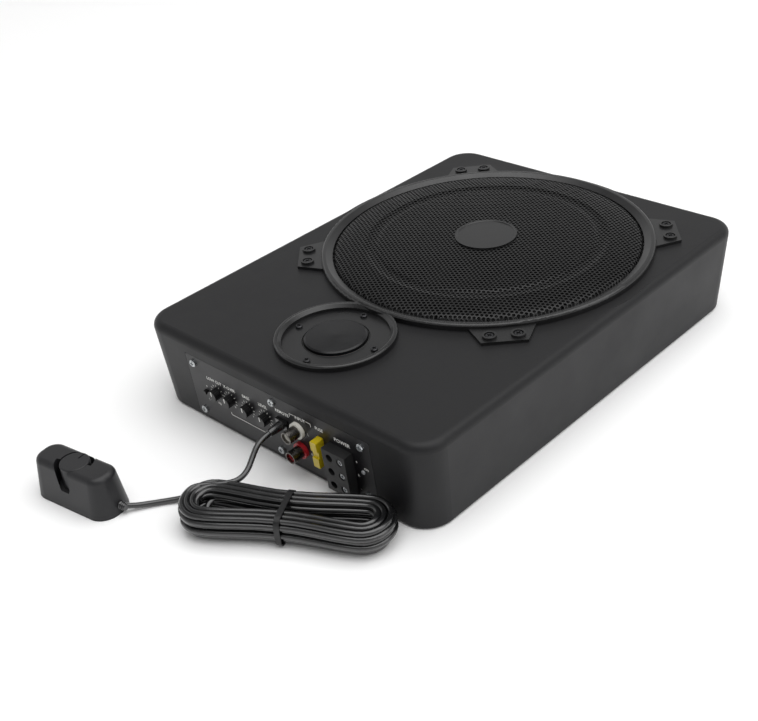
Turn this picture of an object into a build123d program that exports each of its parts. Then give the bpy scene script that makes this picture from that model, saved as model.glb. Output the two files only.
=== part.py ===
from build123d import *

import math
import os

# Powered under-seat subwoofer: a flat tapered box with a slim woofer and a small midrange unit
# in its top, an amplifier inside, controls and sockets on one short end, and a wired level remote.
# Millimetres. The origin is the centre of the underside, +Z is up, +Y runs away from the controls.

# ---- enclosure -------------------------------------------------------------------------------
box_width = 250.0
box_length = 330.0
front_y = -box_length / 2    # the foot of the end that holds the control panel
box_height = 62.5
draft_inset = 3.8            # the underside is this much smaller than the top on every side
corner_radius = 18.9
top_edge_radius = 5.3
bottom_edge_radius = 2.2
wall = 4.0
top_thickness = 4.0
base_thickness = 3.5
base_gap = 0.3
seat_pad_radius = 121.8      # flat round land in the top, under the bezel
seat_pad_depth = 6.0

# ---- fits and fasteners ----------------------------------------------------------------------
thread_gap = 0.05            # radial gap between a screw and its tapped hole
running_gap = 0.05           # radial gap of a turning shaft
snug_gap = 0.1               # gap between bedded parts
hole_gap = 0.3               # radial gap of a through hole
recess_width = 0.9
recess_depth = 0.8

bezel_screw_radius = 1.5
bezel_head_radius = 2.9
bezel_head_height = 1.7
bezel_counterbore = 2.0
bezel_screw_length = 9.0
woofer_screw_radius = 2.0
woofer_head_radius = 2.9
woofer_head_height = 1.8
woofer_screw_length = 8.0
mid_screw_radius = 1.2
mid_head_radius = 2.3
mid_head_height = 1.4
mid_screw_length = 6.0
panel_screw_radius = 1.45
panel_head_radius = 2.6
panel_head_height = 1.6
panel_screw_length = 8.0
base_screw_radius = 1.5
base_head_radius = 2.9
base_head_height = 1.7
base_counterbore = 2.0
base_screw_length = 12.0
clamp_screw_radius = 1.5
clamp_head_radius = 2.2
clamp_head_height = 1.5
clamp_counterbore = 2.0
clamp_screw_length = 6.0
tapped_extra = 2.0           # a tapped hole is this much deeper than its screw
pillar_radius = 4.5

# ---- woofer ----------------------------------------------------------------------------------
woofer_from_far_end = 123.4
woofer_cutout_radius = 97.5
woofer_flange_radius = 105.0
woofer_bolt_radius = 101.0
woofer_bolt_count = 8
flange_thickness = 1.4
gasket_thickness = 0.8
mounting_ring_depth = 5.0
mounting_ring_width = 12.5
blind_floor = 0.5            # left under the tapped holes of the top
basket_wall_radius = 96.4
surround_seat_drop = 5.1
surround_seat_inner = 90.0
surround_thickness = 0.8
surround_sag = 5.0
cone_rim_radius = 77.0
cone_depth = 12.0
cone_thickness = 1.2
cone_foot = 2.0              # flat width where the cone is glued to the former
former_outer_radius = 25.0
former_thickness = 0.4
winding_thickness = 0.9
winding_height = 12.0
dust_cap_radius = 31.0
dust_cap_rise = 7.0
dust_cap_thickness = 0.8
magnet_floor_gap = 2.0
yoke_thickness = 4.0
yoke_radius = 40.0
magnet_radius = 48.0
magnet_bore_gap = 4.1        # between the winding and the magnet's bore
magnet_bore_radius = former_outer_radius + winding_thickness + magnet_bore_gap
magnet_thickness = 10.5
top_plate_thickness = 6.0
pole_gap = 0.6
plate_gap = 1.0
spider_rise = 4.5
spider_radius = 52.0
spider_thickness = 0.8
spider_wave = 0.9
spider_wave_count = 4
spider_ledge = 3.0           # half the width of the ledge that carries the spider
basket_foot_radius = 58.0
basket_bore_step = 1.0       # the basket's bore is this much wider than the top plate's
basket_well_depth = 6.0      # the basket's upright wall below the surround's seat
basket_window_count = 6
basket_window_angle = 38.0
window_floor = 0.5
window_inner_margin = 2.0
window_outer_margin = 4.0

# ---- bezel and grille ------------------------------------------------------------------------
bezel_outer_radius = 115.0
bezel_inner_radius = 107.2
bezel_height = 4.5
bezel_land = 3.2             # width of the rounded outer band
bezel_lip = 1.3              # underside of the lip that holds the grille's flange
bezel_nose = 1.1
bezel_crest_radius = 1.6
bezel_slope_radius = 1.0
lug_angles = (41.0, 134.0, -137.0, -46.0)
lug_reach = 131.0
lug_half_base = 21.5
lug_half_tip = 14.4
lug_height = 2.0
lug_boss_radius = 4.6
lug_boss_height = 3.4
lug_screw_radius_out = 124.3
lug_screw_half_pitch = 8.8
grille_flange_radius = 110.2
flange_gap = 0.4             # radial play of the grille's flange in the bezel
grille_thickness = 1.0
grille_rise = 7.5
groove_outer_radius = 84.0   # round groove pressed in the grille
groove_inner_radius = 74.0
groove_side = 3.0
badge_radius = 21.5
badge_rim = 1.4
badge_sink = 0.4
badge_thickness = 1.0

# ---- midrange unit ---------------------------------------------------------------------------
mid_x = 1.0
ring_overlap = 4.9           # how far the small bezel ring runs into the large one
mid_ring_outer = 39.0
mid_ring_inner = 34.3
mid_ring_height = 4.0
mid_ring_land = 2.6
mid_ring_slope = 2.2
mid_ring_crest_radius = 1.3
mid_ring_slope_radius = 0.8
mid_plate_radius = 35.0
mid_plate_thickness = 2.0
mid_seat_rim = 3.0
mid_throat_radius = 21.5
mid_can_radius = 24.0
mid_can_wall = 1.7
mid_can_depth = 8.0
mid_dome_radius = 20.0
mid_dome_rise = 2.4
mid_dome_thickness = 0.8
mid_dome_bevel = 1.2
mid_dome_crown = 0.6
mid_dome_sink = 0.4          # the dome's edge is this far below the top of the box
mid_roll_rise = 0.4
mid_roll_thickness = 0.5
mid_coil_radius = 13.2
mid_coil_thickness = 0.6
mid_coil_depth = 5.0
mid_coil_gap = 1.0
mid_cup_floor = 3.0
mid_plate_overhang = 0.8
mid_cup_radius = 17.0
mid_cup_depth = 14.0
mid_screw_circle = 29.5
mid_screw_turn = 8.0

# ---- control panel ---------------------------------------------------------------------------
panel_width = 164.0
panel_height = 47.5
panel_thickness = 2.0
panel_centre_z = 27.2
panel_gap = 0.2
panel_corner_radius = 1.5
panel_boss_radius = 4.0
panel_boss_depth = 10.0
left_window = (-72.0, 13.8, 15.0, 39.4)      # low x, high x, low z, high z, behind the panel
right_window = (14.6, 69.0, 5.6, 40.5)
window_cut = 4.0             # the windows are cut this much deeper than the wall
board_depth = 14.4           # from the panel's face back to the control board
board_thickness = 1.6
board_centre = (-1.0, 26.0)
board_size = (144.0, 30.0)
screw_row_x = 75.0
screw_row_high = 45.5
screw_row_low = 8.5
knob_names = ("subsonic_knob", "crossover_knob", "boost_knob", "level_knob")
knob_xs = (-56.5, -43.5, -26.5, -10.0)
knob_z = 28.8
knob_radius = 3.9
knob_reach = 5.0
flute_count = 12
flute_radius = 0.45
pointer_width = 0.7
pointer_depth = 0.6
shaft_radius = 3.0
shaft_depth = 8.0
pot_size = 9.5
switch_x = -66.8
switch_z = 25.5
switch_travel = 2.5
switch_slot_extra = 4.0
switch_slot_height = 2.8
switch_case = (9.0, 6.0)
switch_floor = 7.0           # depth of the slot in the case
switch_lever = (2.2, 2.4)
switch_lever_reach = 2.2
switch_lever_root = 6.5
jack_x = 7.0
jack_z = 32.4
jack_case = (12.6, 12.0)
plug_width = 9.6
plug_height = 6.6
plug_depth = 10.5
plug_shoulder = 2.0          # the plug's block stands this far out, and its boot starts there
boot_radius = 3.2
boot_end_radius = 2.3
rca_x = 20.6
rca_zs = (33.6, 18.4)
rca_radius = 4.15
rca_root_radius = 3.95       # the barrel is this slim from the board to just beyond its collar
rca_root_reach = 2.8
rca_wall = 0.85
rca_pin_hole_radius = 1.75
rca_mouth_depth = 1.8
rca_reach = 10.5
rca_collar_radius = 5.6
rca_collar_reach = 2.3
fuse_x = 39.5
fuse_z = 27.0
fuse_width = 19.1
fuse_body_thickness = 5.1
fuse_body_height = 12.0
fuse_reach = 6.2
fuse_blade_width = 5.2
fuse_blade_thickness = 0.65
fuse_blade_offset = 6.9
fuse_blade_length = 7.0
fuse_notch = (5.0, 1.0)      # width and depth of the notch in the fuse's outer end
fuse_corner_radius = 1.0
holder_wall = 1.4
terminal_x = 57.0
terminal_z = 21.5
terminal_width = 19.0
terminal_height = 31.0
terminal_reach = 7.0
terminal_pitch = 10.2
terminal_rim = 1.2
entry_offset = 3.8
clamp_offset = 4.8
wire_entry_radius = 2.6
wire_entry_depth = 6.5
led_x = 73.5
led_z = 26.0
led_radius = 1.5
led_reach = 0.9
led_tail = 5.0
led_dome_radius = 0.8

# ---- amplifier -------------------------------------------------------------------------------
board_lift = 4.5             # stand-off height above the base cover
standoff_radius = 3.5
standoff_inset = 5.0
amp_board_width = 148.0
amp_board_length = 74.0
amp_board_from_panel = 20.0
heat_sink_width = 120.0
heat_sink_depth = 16.0
heat_sink_height = 20.0
heat_sink_floor = 4.0
heat_sink_margin = 1.0
fin_pitch = 8.0
fin_thickness = 2.0
capacitor_radius = 8.0
capacitor_height = 20.0
capacitor_pitch = 18.0
capacitor_x = -51.0
toroid_radius = 19.0
toroid_bore = 7.0
toroid_height = 16.0
toroid_edge_radius = 3.0
toroid_margin = 2.0
toroid_x = 50.0

# ---- brackets --------------------------------------------------------------------------------
insert_spacing_x = 190.0
insert_spacing_y = 270.0
insert_bore_radius = 2.1
insert_radius = 4.0
insert_length = 9.0
insert_boss_radius = 6.5
insert_cap = 2.5             # left over the inserts

# ---- wired remote ----------------------------------------------------------------------------
remote_x = -73.6
remote_y = front_y - 96.7
remote_turn = 8.5            # degrees from +X
remote_length = 64.5
remote_width = 27.2
remote_height = 27.3
remote_draft = 3.5
remote_corner = 11.9
remote_edge_radius = 4.0
remote_skin = 2.0
remote_lip = 1.0
remote_cavity_height = 10.0
remote_exit_z = 5.0
remote_exit_side = 1.5
remote_well_floor = 12.0
remote_knob_radius = 9.4
remote_knob_edge = 1.0
remote_pointer_width = 1.0
remote_shaft_length = 6.0
remote_pot_radius = 8.0
remote_well_gap = 0.5
groove_width = 2.6
groove_start = -165.0
groove_end = -70.0
notch_start = 8.0
notch_end = 62.0
notch_floor = 19.5

# ---- cord ------------------------------------------------------------------------------------
cord_diameter = 3.6
plug_reach = 12.0
hank_left = (11.0, front_y - 63.0)
hank_right = (92.0, front_y - 19.0)
hank_left_radius = 20.0
hank_right_radius = 19.5
hank_waist = 31.0
hank_bottom = 1.0
hank_top = 19.5
hank_round = 5.0
hank_blend = 30.0
tie_width = 3.5
tie_thickness = 0.8
plug_route = [
    (7.0, front_y - 18.4, 31.1),
    (8.5, front_y - 25.5, 25.5),
    (11.0, front_y - 32.5, 20.5),
    (11.5, front_y - 39.5, 18.0),
    (8.5, front_y - 47.0, 17.8),
]
remote_route = [
    (-38.2, front_y - 86.8, 3.6),
    (-31.6, front_y - 75.6, 2.0),
    (-22.0, front_y - 63.6, 2.0),
    (-11.0, front_y - 52.0, 4.2),
    (-0.5, front_y - 46.5, 7.5),
]

# ---- levels and centres that follow from the sizes above ------------------------------------
woofer_y = box_length / 2 - woofer_from_far_end
mid_y = woofer_y - bezel_outer_radius - mid_ring_outer + ring_overlap
draft_angle = math.atan(draft_inset / box_height)
flange_bottom = box_height - flange_thickness
rebate_depth = flange_thickness + gasket_thickness
seat_z = flange_bottom - surround_seat_drop
rim_z = seat_z + surround_thickness
neck_z = rim_z - cone_depth
yoke_z = base_thickness + magnet_floor_gap
magnet_z = yoke_z + yoke_thickness
top_plate_z = magnet_z + magnet_thickness
basket_foot_z = top_plate_z + top_plate_thickness
spider_z = basket_foot_z + flange_thickness + spider_rise
panel_y = -box_length / 2 + draft_inset * (1 - panel_centre_z / box_height)
amp_board_z = base_thickness + board_lift
amp_board_y = panel_y + amp_board_from_panel + amp_board_length / 2
base_screw_x = box_width / 2 - draft_inset - wall - base_gap - 5.0
base_screw_ys = (box_length / 2 - 24.0, box_length / 6)

os.makedirs("parts", exist_ok=True)


def finish(piece, label):
    """Label a finished piece and write its STEP file."""
    piece.part.label = label
    export_step(piece.part, f"parts/{label}.step")


def radial_plane(x, y):
    """The plane of a turned profile: local x is the radius, local y is the height."""
    return Plane(origin=(x, y, 0), x_dir=(1, 0, 0), z_dir=(0, -1, 0))


def turned(label, x, y, outline):
    """A solid turned about the vertical line through (x, y) from (radius, height) points."""
    with BuildPart() as piece:
        with BuildSketch(radial_plane(x, y)):
            with BuildLine():
                Polyline(*outline, close=True)
            make_face()
        revolve(axis=Axis((x, y, 0), (0, 0, 1)))
    finish(piece, label)


def screws(label, plane, points, head_radius, head_height, shank_radius, length):
    """A set of cross-recess screws whose heads sit on a plane and whose shanks go below it."""
    with BuildPart() as piece:
        with BuildSketch(plane):
            with Locations(*points):
                Circle(head_radius)
        extrude(amount=head_height)
        heads = piece.faces().group_by(Axis(plane.origin, plane.z_dir))[-1]
        chamfer(heads.edges(), head_height * 0.3)
        with BuildSketch(plane):
            with Locations(*points):
                Circle(shank_radius)
        extrude(amount=-length)
        with BuildSketch(plane.offset(head_height)):
            with Locations(*points):
                Rectangle(head_radius * 1.2, recess_width)
                Rectangle(recess_width, head_radius * 1.2)
        extrude(amount=-recess_depth, mode=Mode.SUBTRACT)
    finish(piece, label)


def panel_plane(depth=0.0):
    """The outer face of the control panel: local x is +X, local y runs up the face."""
    face = Plane(
        origin=(0, panel_y, panel_centre_z),
        x_dir=(1, 0, 0),
        z_dir=(0, -math.cos(draft_angle), -math.sin(draft_angle)),
    )
    return face.offset(depth)


def on_panel(x, z):
    """Local panel coordinates of a place given by its x and its height."""
    return (x, (z - panel_centre_z) / math.cos(draft_angle))


def panel_box(x, z, width, height, front, back, mode=Mode.ADD):
    """A block on the panel, from one depth to another, inside the open part."""
    with BuildSketch(panel_plane(back)) as outline:
        with Locations(on_panel(x, z)):
            Rectangle(width, height)
    extrude(outline.sketch, amount=front - back, mode=mode)


def panel_round(x, z, radius, front, back, mode=Mode.ADD):
    """A cylinder on the panel, from one depth to another, inside the open part."""
    with BuildSketch(panel_plane(back)) as outline:
        with Locations(on_panel(x, z)):
            Circle(radius)
    extrude(outline.sketch, amount=front - back, mode=mode)


def polar(radius, degrees, x=0.0, y=0.0):
    """A point at a radius and an angle about a centre."""
    return (x + radius * math.cos(math.radians(degrees)), y + radius * math.sin(math.radians(degrees)))


woofer_screw_points = [
    polar(woofer_bolt_radius, 22.5 + 360.0 / woofer_bolt_count * index, 0, woofer_y)
    for index in range(woofer_bolt_count)
]
mid_screw_points = [
    polar(mid_screw_circle, mid_screw_turn + 90 * index, mid_x, mid_y) for index in range(4)
]
base_screw_points = [
    (sx * base_screw_x, sy * y) for sx in (-1, 1) for sy in (-1, 1) for y in base_screw_ys
]
insert_points = [
    (sx * insert_spacing_x / 2, sy * insert_spacing_y / 2) for sx in (-1, 1) for sy in (-1, 1)
]
panel_screw_places = [
    (x, z) for z in (screw_row_high, screw_row_low) for x in (-screw_row_x, 0.0, screw_row_x)
]
standoff_points = [
    (
        sx * (amp_board_width / 2 - standoff_inset),
        amp_board_y + sy * (amp_board_length / 2 - standoff_inset),
    )
    for sx in (-1, 1)
    for sy in (-1, 1)
]


def lug_points():
    """The two screw places of each bezel lug."""
    half_angle = math.degrees(math.atan(lug_screw_half_pitch / lug_screw_radius_out))
    reach = math.hypot(lug_screw_half_pitch, lug_screw_radius_out)
    return [
        polar(reach, angle + side * half_angle, 0, woofer_y) for angle in lug_angles for side in (-1, 1)
    ]


bezel_screw_points = lug_points()

# ---- enclosure -------------------------------------------------------------------------------
with BuildPart() as housing:
    with BuildSketch(Plane.XY):
        RectangleRounded(box_width - 2 * draft_inset, box_length - 2 * draft_inset, corner_radius)
    with BuildSketch(Plane.XY.offset(box_height)):
        RectangleRounded(box_width, box_length, corner_radius)
    loft()
    fillet(housing.faces().sort_by(Axis.Z)[-1].edges(), top_edge_radius)
    fillet(housing.faces().sort_by(Axis.Z)[0].edges(), bottom_edge_radius)
    with BuildSketch(Plane.XY.offset(box_height)):
        with Locations((0, woofer_y)):
            Circle(seat_pad_radius)
    extrude(amount=-seat_pad_depth)
    inner_top = box_height - top_thickness
    with BuildSketch(Plane.XY):
        RectangleRounded(
            box_width - 2 * (draft_inset + wall),
            box_length - 2 * (draft_inset + wall),
            corner_radius - wall,
        )
    with BuildSketch(Plane.XY.offset(inner_top)):
        slack = draft_inset * top_thickness / box_height
        RectangleRounded(
            box_width - 2 * (wall + slack), box_length - 2 * (wall + slack), corner_radius - wall
        )
    loft(mode=Mode.SUBTRACT)
    # ribs and bosses under the top
    with BuildSketch(Plane.XY.offset(inner_top)):
        with Locations((0, woofer_y)):
            Circle(woofer_cutout_radius + mounting_ring_width)
        with Locations((mid_x, mid_y)):
            Circle(mid_plate_radius + mid_seat_rim)
        with Locations(*bezel_screw_points):
            Circle(lug_boss_radius)
    extrude(amount=-mounting_ring_depth)
    # pillars for the base screws
    with BuildSketch(Plane.XY.offset(base_thickness)):
        with Locations(*base_screw_points):
            Circle(pillar_radius)
    extrude(amount=inner_top - base_thickness)
    # bosses behind the control panel
    for place in panel_screw_places:
        panel_round(*place, panel_boss_radius, -wall + 1, -panel_boss_depth)
    # woofer and midrange seats
    with BuildSketch(Plane.XY.offset(box_height)):
        with Locations((0, woofer_y)):
            Circle(woofer_flange_radius + hole_gap)
    extrude(amount=-rebate_depth, mode=Mode.SUBTRACT)
    with BuildSketch(Plane.XY.offset(box_height)):
        with Locations((mid_x, mid_y)):
            Circle(mid_plate_radius + hole_gap)
    extrude(amount=-mid_plate_thickness, mode=Mode.SUBTRACT)
    with BuildSketch(Plane.XY.offset(box_height)):
        with Locations((0, woofer_y)):
            Circle(woofer_cutout_radius)
        with Locations((mid_x, mid_y)):
            Circle(mid_can_radius + hole_gap)
    extrude(amount=-top_thickness - mounting_ring_depth, mode=Mode.SUBTRACT)
    # tapped holes in the top
    with BuildSketch(Plane.XY.offset(box_height)):
        with Locations(*bezel_screw_points):
            Circle(bezel_screw_radius + thread_gap)
        with Locations(*woofer_screw_points):
            Circle(woofer_screw_radius + thread_gap)
        with Locations(*mid_screw_points):
            Circle(mid_screw_radius + thread_gap)
    extrude(amount=-top_thickness - mounting_ring_depth + blind_floor, mode=Mode.SUBTRACT)
    with BuildSketch(Plane.XY.offset(base_thickness)):
        with Locations(*base_screw_points):
            Circle(base_screw_radius + thread_gap)
    extrude(amount=base_screw_length + tapped_extra, mode=Mode.SUBTRACT)
    # control panel seat, its windows, its tapped holes and the lamp's hole
    with BuildSketch(panel_plane()):
        Rectangle(panel_width + 2 * panel_gap, panel_height + 2 * panel_gap)
    extrude(amount=-panel_thickness, mode=Mode.SUBTRACT)
    for low_x, high_x, low_z, high_z in (left_window, right_window):
        window_x = (low_x + high_x) / 2
        window_z = (low_z + high_z) / 2
        panel_box(
            window_x, window_z, high_x - low_x, high_z - low_z, 0, -wall - window_cut, Mode.SUBTRACT
        )
    for place in panel_screw_places:
        panel_round(*place, panel_screw_radius + thread_gap, 0, -panel_boss_depth + 1, Mode.SUBTRACT)
    panel_round(led_x, led_z, led_radius + hole_gap, 0, -wall - window_cut, Mode.SUBTRACT)
finish(housing, "housing")

with BuildPart() as base_cover:
    with BuildSketch(Plane.XY):
        RectangleRounded(
            box_width - 2 * (draft_inset + wall + base_gap),
            box_length - 2 * (draft_inset + wall + base_gap),
            corner_radius - wall - base_gap,
        )
    extrude(amount=base_thickness)
    with BuildSketch(Plane.XY):
        with Locations(*insert_points):
            Circle(insert_boss_radius)
    extrude(amount=insert_length + insert_cap)
    with BuildSketch(Plane.XY.offset(base_thickness)):
        with Locations(*standoff_points):
            Circle(standoff_radius)
    extrude(amount=board_lift)
    with BuildSketch(Plane.XY):
        with Locations(*insert_points):
            Circle(insert_radius + running_gap)
    extrude(amount=insert_length, mode=Mode.SUBTRACT)
    with BuildSketch(Plane.XY):
        with Locations(*base_screw_points):
            Circle(base_head_radius + hole_gap)
    extrude(amount=base_counterbore, mode=Mode.SUBTRACT)
    with BuildSketch(Plane.XY):
        with Locations(*base_screw_points):
            Circle(base_screw_radius + hole_gap)
    extrude(amount=base_thickness, mode=Mode.SUBTRACT)
finish(base_cover, "base_cover")

underside = Plane(origin=(0, 0, base_counterbore), x_dir=(1, 0, 0), z_dir=(0, 0, -1))
screws(
    "base_screws",
    underside,
    base_screw_points,
    base_head_radius,
    base_head_height,
    base_screw_radius,
    base_screw_length,
)

with BuildPart() as bracket_inserts:
    with BuildSketch(Plane.XY):
        with Locations(*insert_points):
            Circle(insert_radius)
            Circle(insert_bore_radius, mode=Mode.SUBTRACT)
    extrude(amount=insert_length)
finish(bracket_inserts, "bracket_inserts")

# ---- woofer ----------------------------------------------------------------------------------
gasket_outer = woofer_bolt_radius - woofer_screw_radius - hole_gap
turned(
    "woofer_gasket",
    0,
    woofer_y,
    [
        (woofer_cutout_radius, box_height - rebate_depth),
        (gasket_outer, box_height - rebate_depth),
        (gasket_outer, flange_bottom),
        (woofer_cutout_radius, flange_bottom),
    ],
)

with BuildPart() as woofer_basket:
    foot_top = basket_foot_z + flange_thickness
    former_bore = former_outer_radius + winding_thickness + plate_gap + basket_bore_step
    with BuildSketch(radial_plane(0, woofer_y)):
        with BuildLine():
            Polyline(
                (woofer_flange_radius, box_height),
                (basket_wall_radius - flange_thickness, box_height),
                (basket_wall_radius - flange_thickness, seat_z),
                (surround_seat_inner, seat_z),
                (surround_seat_inner, seat_z - basket_well_depth),
                (basket_foot_radius, foot_top),
                (former_bore, foot_top),
                (former_bore, basket_foot_z),
                (basket_foot_radius + 1, basket_foot_z),
                (surround_seat_inner + flange_thickness, seat_z - basket_well_depth - flange_thickness),
                (surround_seat_inner + flange_thickness, seat_z - flange_thickness),
                (basket_wall_radius, seat_z - flange_thickness),
                (basket_wall_radius, flange_bottom),
                (woofer_flange_radius, flange_bottom),
                close=True,
            )
        make_face()
    revolve(axis=Axis((0, woofer_y, 0), (0, 0, 1)))
    # the ledge that carries the spider
    with BuildSketch(Plane.XY.offset(foot_top)):
        with Locations((0, woofer_y)):
            Circle(spider_radius + spider_ledge)
            Circle(spider_radius - spider_ledge, mode=Mode.SUBTRACT)
    extrude(amount=spider_rise)
    # windows between the arms
    with BuildSketch(Plane.XY.offset(foot_top + window_floor)):
        with BuildLine():
            inner_reach = basket_foot_radius + window_inner_margin
            outer_reach = surround_seat_inner - window_outer_margin
            half = basket_window_angle / 2
            first = polar(inner_reach, -half, 0, woofer_y)
            second = polar(outer_reach, -half, 0, woofer_y)
            third = polar(outer_reach, half, 0, woofer_y)
            fourth = polar(inner_reach, half, 0, woofer_y)
            Line(first, second)
            ThreePointArc(second, polar(outer_reach, 0, 0, woofer_y), third)
            Line(third, fourth)
            ThreePointArc(fourth, polar(inner_reach, 0, 0, woofer_y), first)
        make_face()
    window_rise = seat_z - basket_well_depth - foot_top - window_outer_margin
    window = extrude(amount=window_rise, mode=Mode.PRIVATE)
    for index in range(basket_window_count):
        turn = 360.0 / basket_window_count * index
        add(window.rotate(Axis((0, woofer_y, 0), (0, 0, 1)), turn), mode=Mode.SUBTRACT)
    with BuildSketch(Plane.XY.offset(flange_bottom)):
        with Locations(*woofer_screw_points):
            Circle(woofer_screw_radius + hole_gap)
    extrude(amount=flange_thickness, mode=Mode.SUBTRACT)
finish(woofer_basket, "woofer_basket")

screws(
    "woofer_screws",
    Plane.XY.offset(box_height),
    woofer_screw_points,
    woofer_head_radius,
    woofer_head_height,
    woofer_screw_radius,
    woofer_screw_length,
)

pole_radius = former_outer_radius - former_thickness - pole_gap
yoke_profile = [
    (0, yoke_z),
    (yoke_radius, yoke_z),
    (yoke_radius, magnet_z),
    (pole_radius, magnet_z),
    (pole_radius, basket_foot_z),
    (0, basket_foot_z),
]
turned("magnet_yoke", 0, woofer_y, yoke_profile)
turned(
    "woofer_magnet",
    0,
    woofer_y,
    [
        (magnet_bore_radius, magnet_z),
        (magnet_radius, magnet_z),
        (magnet_radius, top_plate_z),
        (magnet_bore_radius, top_plate_z),
    ],
)
plate_bore = former_outer_radius + winding_thickness + plate_gap
turned(
    "magnet_top_plate",
    0,
    woofer_y,
    [
        (plate_bore, top_plate_z),
        (magnet_radius, top_plate_z),
        (magnet_radius, basket_foot_z),
        (plate_bore, basket_foot_z),
    ],
)

roll_inner = cone_rim_radius + snug_gap
roll_middle = (roll_inner + surround_seat_inner) / 2
with BuildPart() as woofer_surround:
    with BuildSketch(radial_plane(0, woofer_y)):
        with BuildLine():
            upper_inner = roll_inner + 2 * surround_thickness
            lower_inner = roll_inner + surround_thickness
            upper_outer = surround_seat_inner - surround_thickness
            seat_edge = basket_wall_radius - flange_thickness - snug_gap
            roll_edge = surround_seat_inner - snug_gap
            Polyline(
                (lower_inner, seat_z), (roll_inner, seat_z), (roll_inner, rim_z), (upper_inner, rim_z)
            )
            ThreePointArc(
                (upper_inner, rim_z), (roll_middle, rim_z - surround_sag), (upper_outer, rim_z)
            )
            Polyline((upper_outer, rim_z), (seat_edge, rim_z), (seat_edge, seat_z), (roll_edge, seat_z))
            ThreePointArc(
                (roll_edge, seat_z), (roll_middle, seat_z - surround_sag), (lower_inner, seat_z)
            )
        make_face()
    revolve(axis=Axis((0, woofer_y, 0), (0, 0, 1)))
finish(woofer_surround, "woofer_surround")

cone_neck_radius = former_outer_radius + snug_gap
turned(
    "woofer_cone",
    0,
    woofer_y,
    [
        (cone_rim_radius, rim_z),
        (cone_rim_radius, rim_z - cone_thickness),
        (cone_neck_radius + cone_foot, neck_z - cone_thickness),
        (cone_neck_radius, neck_z - cone_thickness),
        (cone_neck_radius, neck_z),
    ],
)
cap_slope = cone_depth / (cone_rim_radius - cone_neck_radius)
cap_z = neck_z + cap_slope * (dust_cap_radius - cone_neck_radius) + snug_gap
cap_steps = 8
cap_inner_radius = dust_cap_radius - dust_cap_thickness


def cap_curve(radius, share):
    """A point of the dust cap's bowl, from its edge at share 0 to its top at share 1."""
    return (radius * (1 - share), cap_z + dust_cap_rise * (1 - (1 - share) ** 2))


cap_outside = [cap_curve(dust_cap_radius, index / cap_steps) for index in range(cap_steps + 1)]
cap_under = [cap_curve(cap_inner_radius, index / cap_steps) for index in range(cap_steps, 0, -1)]
cap_inside = [(radius, height - dust_cap_thickness) for radius, height in cap_under]
turned("dust_cap", 0, woofer_y, cap_outside + cap_inside + [(cap_inner_radius, cap_z)])

former_bottom = top_plate_z + top_plate_thickness / 2 - winding_height / 2
turned(
    "voice_coil_former",
    0,
    woofer_y,
    [
        (former_outer_radius - former_thickness, former_bottom),
        (former_outer_radius, former_bottom),
        (former_outer_radius, neck_z),
        (former_outer_radius - former_thickness, neck_z),
    ],
)
turned(
    "voice_coil_winding",
    0,
    woofer_y,
    [
        (former_outer_radius, former_bottom),
        (former_outer_radius + winding_thickness, former_bottom),
        (former_outer_radius + winding_thickness, former_bottom + winding_height),
        (former_outer_radius, former_bottom + winding_height),
    ],
)
wave_start = cone_neck_radius + cone_foot
wave_pitch = (spider_radius - spider_ledge - wave_start) / spider_wave_count
spider_top = [(cone_neck_radius, spider_z + spider_thickness)]
for index in range(2 * spider_wave_count + 1):
    lift = spider_wave * (index % 2)
    spider_top.append((wave_start + index * wave_pitch / 2, spider_z + spider_thickness + lift))
spider_top.append((spider_radius, spider_z + spider_thickness))
spider_under = [(radius, height - spider_thickness) for radius, height in reversed(spider_top)]
turned("spider", 0, woofer_y, spider_top + spider_under)

# ---- bezel, grille and badge -----------------------------------------------------------------
top = box_height
flange_pocket = grille_flange_radius + flange_gap
main_ring = [
    (flange_pocket, top),
    (bezel_outer_radius, top),
    (bezel_outer_radius, top + bezel_height),
    (bezel_outer_radius - bezel_land, top + bezel_height),
    (bezel_inner_radius, top + bezel_lip + bezel_nose),
    (bezel_inner_radius, top + bezel_lip),
    (flange_pocket, top + bezel_lip),
]
small_ring = [
    (mid_ring_inner, top),
    (mid_ring_outer, top),
    (mid_ring_outer, top + mid_ring_height),
    (mid_ring_outer - mid_ring_land, top + mid_ring_height),
    (mid_ring_inner, top + mid_ring_height - mid_ring_slope),
]


def ring_section(outline, x, y, rounded):
    """Turn a bezel ring into the open part, with the named corners rounded."""
    with BuildSketch(radial_plane(x, y)) as section:
        with BuildLine():
            Polyline(*outline, close=True)
        make_face()
        for index, radius in rounded:
            corner = section.vertices().sort_by_distance((outline[index][0], outline[index][1], 0))[0]
            fillet(corner, radius)
    revolve(section.sketch, axis=Axis((x, y, 0), (0, 0, 1)))


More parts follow.
